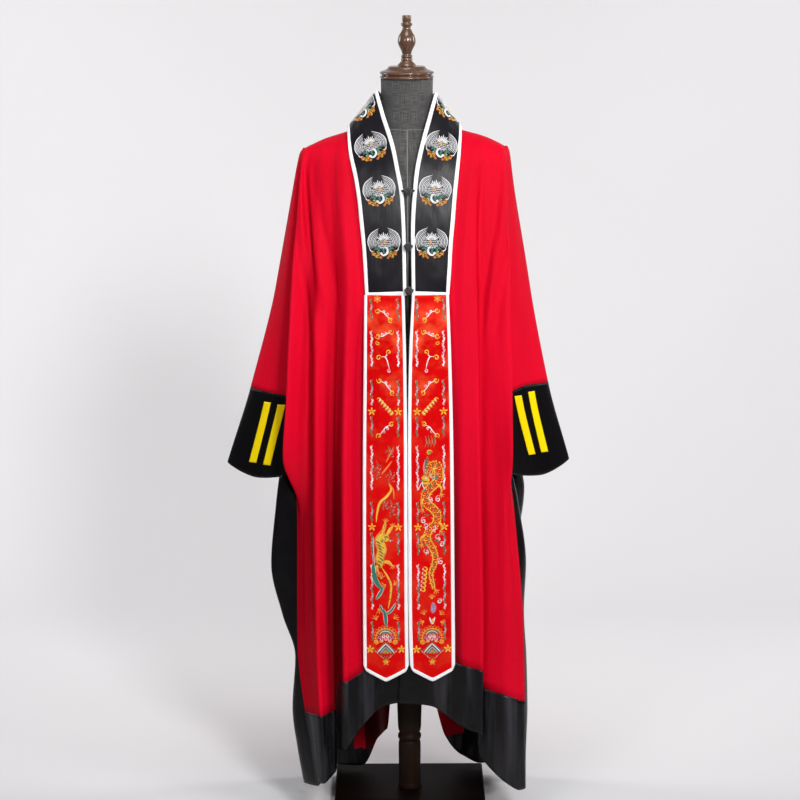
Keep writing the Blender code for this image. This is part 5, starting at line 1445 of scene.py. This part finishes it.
def both_ribbons(work, hand):
    """What the two ribbons share, one the mirror of the other: edge chains, stars and clouds."""
    sew = work.stroke
    greens, pinks = ("moss", "silver", "moss"), ("pink", "white", "pink", "silver")
    for side_of in (-28.0, 28.0):
        for upper, lower, colours in ((826, 780, greens), (758, 683, pinks), (654, 600, greens + pinks),
                                      (576, 533, greens), (513, 418, pinks), (392, 349, greens),
                                      (325, 277, greens), (256, 158, pinks + greens), (132, 90, greens)):
            chain(work, side_of, upper, lower, colours)
        for up in (587, 338):
            rays(work, "gold", side_of, up, 9.0, 5, 3.8)
        rays(work, "gold", side_of * 1.2, 71, 9.5, 5, 4.2)
    work.hoop(0.0, 0.0, hand)
    rays(work, "orange", -15, 826, 8.0, 6, 4.96, 0.25)
    sew("gold", ((-17.4, 826), (-12.6, 826)), 4.4, 0.7)
    scroll(work, (-14, 802), (13, 782))
    scroll(work, (-15, 748), (13, 757), bow=-3.5)
    sew("gold", curl(-15, 733, 4.6, 1.3, 90.0), 1.8)
    sew("gold", curl(-13, 702, 6.0, 1.2, 0.0), 2.5, 0.3)
    sew("gold", curl(8, 714, 5.4, 1.2, 250.0, -1.0), 2.5, 0.3)
    sew("white", ((-8, 704), (0, 704), (4, 698), (7, 688), (9, 678)), 2.6)
    sew("white", ((1, 704), (5, 710)), 2.2)
    sew("pink", curl(9, 674, 4.2, 1.1, 60.0), 2.4, 0.2)
    scroll(work, (-12, 654), (16, 628))
    for step in range(6):
        place = (-12 + 5.0 * step, 612 - 5.6 * step)
        sew("gold", curl(*place, 5.0, 0.9, 170.0 - 12 * step, -1.0), 3.4)
        sew("white", ((place[0] - 1, place[1] - 1), (place[0] + 3.4, place[1] + 1.4)), 2.4, 0.6)
        sew("orange", ((place[0] - 3, place[1] - 4), (place[0] + 1, place[1] - 4.6)), 1.6, 0.3)
    scroll(work, (14, 560), (-13, 535), bow=-4.0)
    work.hoop(0.0, 96.0, hand, 0.98)
    wave_crest(work)
    work.hoop(0.0, 0.0, hand)


def tiger_side(work):
    """The left ribbon: pines over a tiger seen from the side as it climbs, with long leaves."""
    sew = work.stroke
    for across, up, wide, tall in ((10, 498, 8, 12), (-15, 458, 5, 20), (12, 446, 9, 14), (-1, 386, 7, 12),
                                   (14, 376, 7, 18)):
        tuft(work, across, up, wide, tall)
    sew("orange", ((18, 512), (8, 490), (2, 478)), 3.2)
    sew("orange", ((15, 482), (2, 464), (-8, 452)), 4.0)
    sew("gold", ((8, 434), (13, 420), (3, 404), (-10, 392), (-16, 374), (-19, 348)), 6.0)
    sew("orange", ((8, 434), (17, 420), (19, 398)), 3.4)
    for limb, width in ((((-7, 322), (-2, 336), (1, 350)), 8.0), (((2, 318), (10, 332), (16, 340)), 8.0),
                        (((-8, 262), (6, 262), (15, 254)), 8.5), (((-12, 258), (-18, 250), (-14, 238)), 7.0)):
        sew("gold", limb, width)
        sew("orange", limb[1:], 2.2, 1.2)
        claw(work, *limb[-1], 80 if limb[-1][1] > 300 else 300, 8.0)
    sew("gold", ((-8, 250), (-12, 272), (-6, 292), (-12, 310), (-3, 326)), 19.0, 0.2)
    sew("orange", ((-10, 248), (-21, 266), (-16, 288), (-22, 308), (-10, 328), (2, 338)), 2.8, 1.2)
    sew("orange", ((-2, 254), (-3, 270), (3, 290), (-3, 306)), 2.2, 1.2)
    sew("gold", ((-6, 318), (2, 314), (9, 312)), 15.0, 0.9)
    sew("moss", ((-3, 315), (2, 318), (6, 313)), 3.4, 1.2)
    sew("white", ((9, 307), (12, 310)), 2.6, 1.8)
    sew("orange", ((-5, 328), (-1, 324), (-5, 320)), 4.2, 1.6)
    for stripe in (((-2, 318), (1, 313), (-1, 308)), ((3, 320), (5, 317), (3, 314)),
                   ((-7, 314), (-5, 309), (-8, 304))):
        sew("moss", stripe, 2.2, 1.9)
    sew("ink", ((6, 315), (9, 316)), 2.4, 2.0)
    sew("red", ((8, 308), (13, 306)), 1.8, 2.4)
    sew("silver", ((10, 311), (18, 309)), 1.0, 2.2)
    for number, up in enumerate((256, 263, 270, 277, 284, 291, 298, 305)):
        middle = -9.5 + 3.2 * math.sin((up - 262) / 11.0)
        sew("ink", ((middle - 7.5, up + 3), (middle - 1, up - 1), (middle + 2, up - 4)), 2.4, 1.6)
        if number % 2:
            sew("moss", ((middle + 1, up + 4), (middle + 7, up + 1)), 2.0, 1.6)
    sew("gold", ((-7, 250), (3, 234), (12, 214), (11, 188), (6, 160)), 4.8)
    for up in (236, 222, 208, 194, 180):
        sew("ink", ((5, up), (13, up + 2)), 1.5, 1.2)
    for across, up, heading in ((-8, 228, 90), (-1, 212, 200), (20, 214, 40), (-14, 158, 300),
                                (20, 140, 30), (-20, 138, 110)):
        claw(work, across, up, heading, 10.0)
    for colour, inset, layer in (("white", 0.0, 0.0), ("jade", 3.0, 0.9)):
        sew(colour, ((-25, 318), (-26, 286), (-23, 250)), 4.6 - 0.8 * inset, layer)
        sew(colour, ((-25, 262), (-24, 236), (-17, 216), (-5, 202)), 13.0 - inset, layer)
        sew(colour, ((-4, 208), (-11, 194), (-20, 180)), 9.0 - inset, layer)
        sew(colour, ((1, 120), (0, 142), (-4, 160)), 10.0 - inset, layer)
        sew(colour, ((-1, 150), (-8, 160), (-11, 170)), 6.0 - 0.7 * inset, layer)
        sew(colour, ((-1, 148), (12, 156), (23, 174)), 7.0 - 0.8 * inset, layer)
    sew("leaf", ((-20, 240), (-14, 220), (-8, 208)), 1.6, 2.0)


def dragon_side(work):
    """The right ribbon: a dragon that winds down it, a gourd below, a pearl and flames above."""
    sew = work.stroke
    for across in (-11, -5, 1, 7):
        sew("moss", ((across, 536), (across + 2, 524), (across - 1, 510)), 2.2)
        sew("orange", ((across + 3, 528), (across + 4, 516)), 1.4)
    sew("gold", curl(-3, 499, 6.5, 1.0, 0.0), 2.6)
    sew("leaf", ((-7, 499), (1, 499)), 7.0)
    sew("moss", ((-6, 492), (-9, 470), (-7, 448)), 7.0)
    sew("silver", ((-12, 484), (-15, 466), (-13, 450)), 3.0)
    limbs = (((12, 432), (22, 422), (21, 408), 300), ((-13, 404), (-20, 392), (-18, 376), 240),
             ((12, 352), (22, 342), (20, 328), 300), ((-9, 322), (-20, 316), (-20, 300), 240))
    for start, elbow, paw, heading in limbs:
        sew("gold", (start, elbow, paw), 5.0)
        sew("moss", (elbow, paw), 1.8, 1.0)
        claw(work, *paw, heading, 8.5)
    serpent(work, ((-6, 446), (0, 468), (12, 472), (17, 456), (13, 436), (0, 424), (-11, 410), (-9, 390),
                   (4, 378), (13, 364), (10, 346), (-4, 332), (-9, 314), (0, 296), (8, 278), (6, 256),
                   (-1, 238), (2, 218), (6, 200)), (13.0, 15.0, 15.0, 14.0, 13.0, 11.0, 8.0, 4.0))
    for number in range(14):
        way = one_step(math.radians(20.0 + 21.0 * number))
        lock = (way * 7 + (-5, 438), way * 12 + (-4, 440), way * (16 + 2 * (number % 3)) + (-3, 442))
        sew(("jade", "moss", "orange", "gold")[number % 4], lock, 2.8, 0.5)
    sew("gold", ((-19, 444), (-12, 443), (-3, 438)), 12.0, 1.0)
    sew("gold", ((-18, 434), (-11, 433), (-4, 436)), 5.4, 1.1)
    sew("red", ((-18, 439), (-11, 437), (-6, 437)), 2.6, 2.0)
    sew("orange", ((-19, 448), (-13, 450), (-7, 447), (-2, 442)), 2.6, 1.8)
    for across in (-10.0, -4.0):
        sew("orange", ((across, 447), (across + 2, 458), (across + 8, 466)), 3.0, 1.4)
    for hand in (-1.0, 1.0):
        sew("white", ((-17, 438), (-20 + hand * 3, 428), (-18 + hand * 8, 418)), 1.8, 1.2)
    sew("white", ((-12, 445), (-8, 444)), 3.4, 2.2)
    sew("ink", ((-11, 445), (-9, 444)), 1.8, 2.9)
    for across, up, turn in ((3, 448, 0), (-1, 400, 90), (6, 336, 180), (14, 316, 40),
                             (-12, 342, 220), (-10, 286, 120)):
        sew("pink", curl(across, up, 6.2, 1.1, turn), 2.2, 0.9)
        sew("white", curl(across + 2, up - 5, 4.0, 0.9, turn + 120.0, -1.0), 1.9, 0.9)
    for across, up, turn in ((14, 444, 60), (-14, 420, 200), (16, 372, 10), (-8, 366, 160),
                             (10, 306, 330), (-13, 302, 200)):
        sew("jade", curl(across, up, 5.2, 0.6, turn), 2.8, 0.7)
    for across, up, hand in ((15, 398, 1.0), (22, 300, -1.0), (20, 262, 1.0), (-16, 352, 1.0),
                             (16, 176, -1.0)):
        sew("white", curl(across, up, 5.6, 1.2, 120.0, hand), 2.2)
        sew("pink", curl(across, up + 1, 7.8, 0.5, 60.0, hand), 1.8)
    claw(work, 9, 200, 300, 9.0)
    for step in range(6):
        sew("gold", curl(-13 - 1.0 * step, 246 - 9.0 * step, 5.8, 0.8, 120.0, -1.0), 3.6)
        sew("white", curl(-16 - 1.0 * step, 246 - 9.0 * step, 3.4, 0.5, 90.0, 1.0), 1.8)
    sew("lilac", ((3, 174), (4, 161), (2, 150)), 13.0)
    sew("silver", ((-2, 158), (9, 162)), 2.0, 0.9)
    sew("white", ((-5, 142), (1, 128), (7, 142)), 5.0)
    sew("gold", ((-1, 126), (2, 136), (4, 126)), 3.6, 0.6)
    for across, up, heading in ((-16, 150, 110), (20, 148, 50), (-19, 132, 200), (21, 130, 340),
                                (1, 184, 90)):
        claw(work, across, up, heading, 9.0)


CRANES = (110.0, 220.0, 318.0, 414.0)
for side, hand in (("left", 1.0), ("right", -1.0)):
    cranes = Needlework(collars[side], collars[side].last, 0.0)
    for up in CRANES:
        cranes.hoop(hand * (2.0 if up > 300.0 else 0.0), up, hand, 0.94)
        crane(cranes)
    cranes.sewn("crane_roundels_" + side)
    streamer = Needlework(ribbons[side], RIBBON_TIP, RIBBON_TOP)
    both_ribbons(streamer, hand)
    if side == "left":
        tiger_side(streamer)
    else:
        streamer.hoop(0.0, 0.0)
        dragon_side(streamer)
    streamer.sewn("ribbon_embroidery_" + side)


# Knot buttons: balls of black cord in cord loops, which hold the two bands together.
BUTTON_HEIGHTS = (1.366, 1.252, 1.160)
BUTTON_RADIUS = 0.0084
CORD_RADIUS = 0.0016
CORD_REACH = 0.0034       # the loop's ends, on the pipings
LOOP_CORD = 0.8           # a loop's cord as a share of that radius, pulled tight
LOOP_HEIGHT = 0.0022
LOOP_POINTS = 60
CORD_SIDES = 10
TWIST_ALONG = 4200.0      # radians of twist to a metre along the cord, and round it
TWIST_ROUND = 2600.0
KNOT_CORD = 0.0025
KNOT_LEADS = 4
KNOT_BIGHTS = 5
KNOT_TILT = 1.05
KNOT_WEAVE = 0.0006
KNOT_POINTS = 400


def cord(name, path, radius, node):
    """A round cord along a path of points, its ends closed."""
    ahead = ahead_on(path)
    side_way = np.cross(ahead, (0.0, 1.0, 0.001))
    side_way /= np.linalg.norm(side_way, axis=1, keepdims=True)
    up = np.cross(side_way, ahead)
    turns = np.linspace(0.0, math.tau, CORD_SIDES, endpoint=False)
    rings = (path[:, None] + radius * (side_way[:, None] * np.cos(turns)[None, :, None]
                                       + up[:, None] * np.sin(turns)[None, :, None]))
    made = mesh_piece(name, rings.reshape(-1, 3), tube_faces(len(path), CORD_SIDES), black_cord)
    lay_map(made, turns * radius, run_along(path)[:, None])
    in_place_of(made, node)


def cord_finish():
    """Black rayon cord, its twist showing as slanting ridges."""
    finish = Finish("black_cord", (0.010, 0.009, 0.011), 0.42, {"Sheen Weight": 0.2})
    twist = finish.maths("SINE", finish.along("Y") * TWIST_ALONG + finish.along("X") * TWIST_ROUND)
    finish.feed("Roughness", twist * 0.06 + 0.44)
    finish.bump(twist, 0.0003, 0.7)
    return finish.material


def knot_core():
    """The wadding that fills a knot, seen only as black between its turns."""
    mesh = bpy.data.meshes.new("knot_core")
    build = bmesh.new()
    bmesh.ops.create_icosphere(build, subdivisions=3, radius=BUTTON_RADIUS - KNOT_CORD)
    build.to_mesh(mesh)
    build.free()
    mesh.materials.append(black_cord)
    mesh.shade_smooth()
    return mesh


black_cord = cord_finish()
for number, height in enumerate(BUTTON_HEIGHTS, start=1):
    edges = []
    for collar in collars.values():
        inner = collar.at(0.0, np.linspace(0.0, collar.last, LEVELS))
        edges.append(float(np.interp(-height, -inner[:, 2], inner[:, 0])))
    middle = sum(edges) / 2
    front = float(drape_depth(0.0, height)) - COLLAR_LIFT - PIPING / 2 - CORD_RADIUS
    reach = (edges[1] - edges[0]) / 2 + CORD_REACH
    turn = np.linspace(0.0, math.tau, LOOP_POINTS)
    loop = np.stack((middle + reach * np.cos(turn), np.full(LOOP_POINTS, front),
                     height + LOOP_HEIGHT * np.sin(turn)), axis=1)
    cord("cord_loop_%d" % number, loop, CORD_RADIUS * LOOP_CORD, "button_loop_%d" % number)
    ball = Vector((middle, front - CORD_RADIUS - BUTTON_RADIUS, height))
    turn = np.linspace(0.0, math.tau, KNOT_POINTS)
    tilt = KNOT_TILT * np.sin(KNOT_BIGHTS * turn)
    around = KNOT_LEADS * turn
    reach = BUTTON_RADIUS - KNOT_CORD + KNOT_WEAVE * np.cos(2 * KNOT_BIGHTS * turn)
    knot = np.stack((reach * np.cos(tilt) * np.cos(around), reach * np.sin(tilt),
                     reach * np.cos(tilt) * np.sin(around)), axis=1) + np.array(ball)
    cord("cord_knot_%d" % number, knot, KNOT_CORD, "button_knot_%d" % number)
    core = bpy.data.objects.new("cord_knot_core_%d" % number, knot_core())
    core.location = ball
    bpy.context.scene.collection.objects.link(core)
    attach(core, "root")


# Pale studio: a painted floor that sweeps up into a backdrop, seen from its front alone, with
# a soft key light in front and to the right, weaker fills, and two lamps on the backdrop.
FLOOR_HALF = 6.0
SWEEP_START = 1.6
SWEEP_RADIUS = 1.2
BACKDROP_HEIGHT = 5.0
CAMERA_PLACE = (-0.0177, -6.0, 2.0)
CAMERA_TILT = 79.6        # degrees
CAMERA_ROLL = -0.0047     # radians
SENSOR = 36.0
FOCAL_PIXELS = 2818.0
FRAME_PIXELS = 800.0


def stage_finish():
    """Matt painted studio floor, mottled so faintly that it reads as plain."""
    finish = Finish("studio_floor", (0.72, 0.71, 0.72), 0.85)
    cloud = finish.noise(finish.stretched("object", (0.8, 0.8, 0.8)), 1.0, 2.0)
    finish.feed("Base Color", finish.mix(cloud, (0.70, 0.69, 0.70), (0.75, 0.74, 0.75)))
    facing_away = Wire(finish, finish.node("ShaderNodeNewGeometry").outputs["Backfacing"])
    clear = Wire(finish, finish.node("ShaderNodeBsdfTransparent").outputs[0])
    painted = Wire(finish, finish.shader.outputs[0])
    seen = finish.node("ShaderNodeMixShader", sockets={0: facing_away, 1: painted, 2: clear})
    finish.tree.links.new(seen.outputs[0], finish.tree.nodes["Material Output"].inputs["Surface"])
    return finish.material


profile = [(-FLOOR_HALF, 0.0), (SWEEP_START, 0.0)]
profile += [(SWEEP_START + SWEEP_RADIUS * math.sin(a), SWEEP_RADIUS * (1.0 - math.cos(a)))
            for a in np.linspace(0.05, math.pi / 2, 24)]
profile.append((SWEEP_START + SWEEP_RADIUS, BACKDROP_HEIGHT))
points = np.array([[(x, y, z) for x in (-FLOOR_HALF, FLOOR_HALF)] for y, z in profile])
facing_in = [face[::-1] for face in grid_faces(len(profile), 2)]
studio = mesh_piece("studio_floor", points.reshape(-1, 3), facing_in, stage_finish())


# Lights: place, the point they face, power (W), size (m) and spread (degrees)
LIGHTS = {
    "key": ((1.2, -4.3, 2.9), (0.0, 0.0, 1.1), 30.0, 0.9, 80.0),
    "right_fill": ((2.6, -2.2, 2.4), (0.0, 0.0, 1.1), 8.0, 1.2, 80.0),
    "left_fill": ((-1.7, -4.0, 2.5), (0.0, 0.0, 1.1), 6.0, 1.2, 80.0),
    "top": ((0.0, -0.9, 3.6), (0.0, 0.0, 1.2), 7.0, 1.4, 80.0),
    "backdrop_left": ((-2.2, 0.7, 2.0), (0.0, 2.8, 1.2), 36.0, 1.2, 180.0),
    "backdrop_right": ((2.2, 0.7, 2.0), (0.0, 2.8, 1.2), 36.0, 1.2, 180.0),
}
for name, (place, target, power, size, spread) in LIGHTS.items():
    light = bpy.data.lights.new(name, "AREA")
    light.shape = "DISK"
    light.size = size
    light.energy = power
    light.spread = math.radians(spread)
    lamp = bpy.data.objects.new(name, light)
    lamp.location = place
    lamp.visible_camera = False
    lamp.rotation_euler = (Vector(target) - Vector(place)).to_track_quat("-Z", "Y").to_euler()
    bpy.context.scene.collection.objects.link(lamp)

world = bpy.data.worlds.new("studio_air")
world.use_nodes = True
air = world.node_tree.nodes["Background"]
air.inputs["Color"].default_value = (0.86, 0.87, 0.90, 1.0)
air.inputs["Strength"].default_value = 0.14
bpy.context.scene.world = world
bpy.context.scene.view_settings.view_transform = "Standard"

lens = bpy.data.cameras.new("photo_camera")
lens.sensor_width = SENSOR
lens.lens = SENSOR * FOCAL_PIXELS / FRAME_PIXELS
camera = bpy.data.objects.new("photo_camera", lens)
tilted = Euler((math.radians(CAMERA_TILT), 0.0, 0.0)).to_matrix().to_4x4()
camera.matrix_world = Matrix.Translation(CAMERA_PLACE) @ tilted @ Matrix.Rotation(CAMERA_ROLL, 4, "Z")
bpy.context.scene.collection.objects.link(camera)
bpy.context.scene.camera = camera
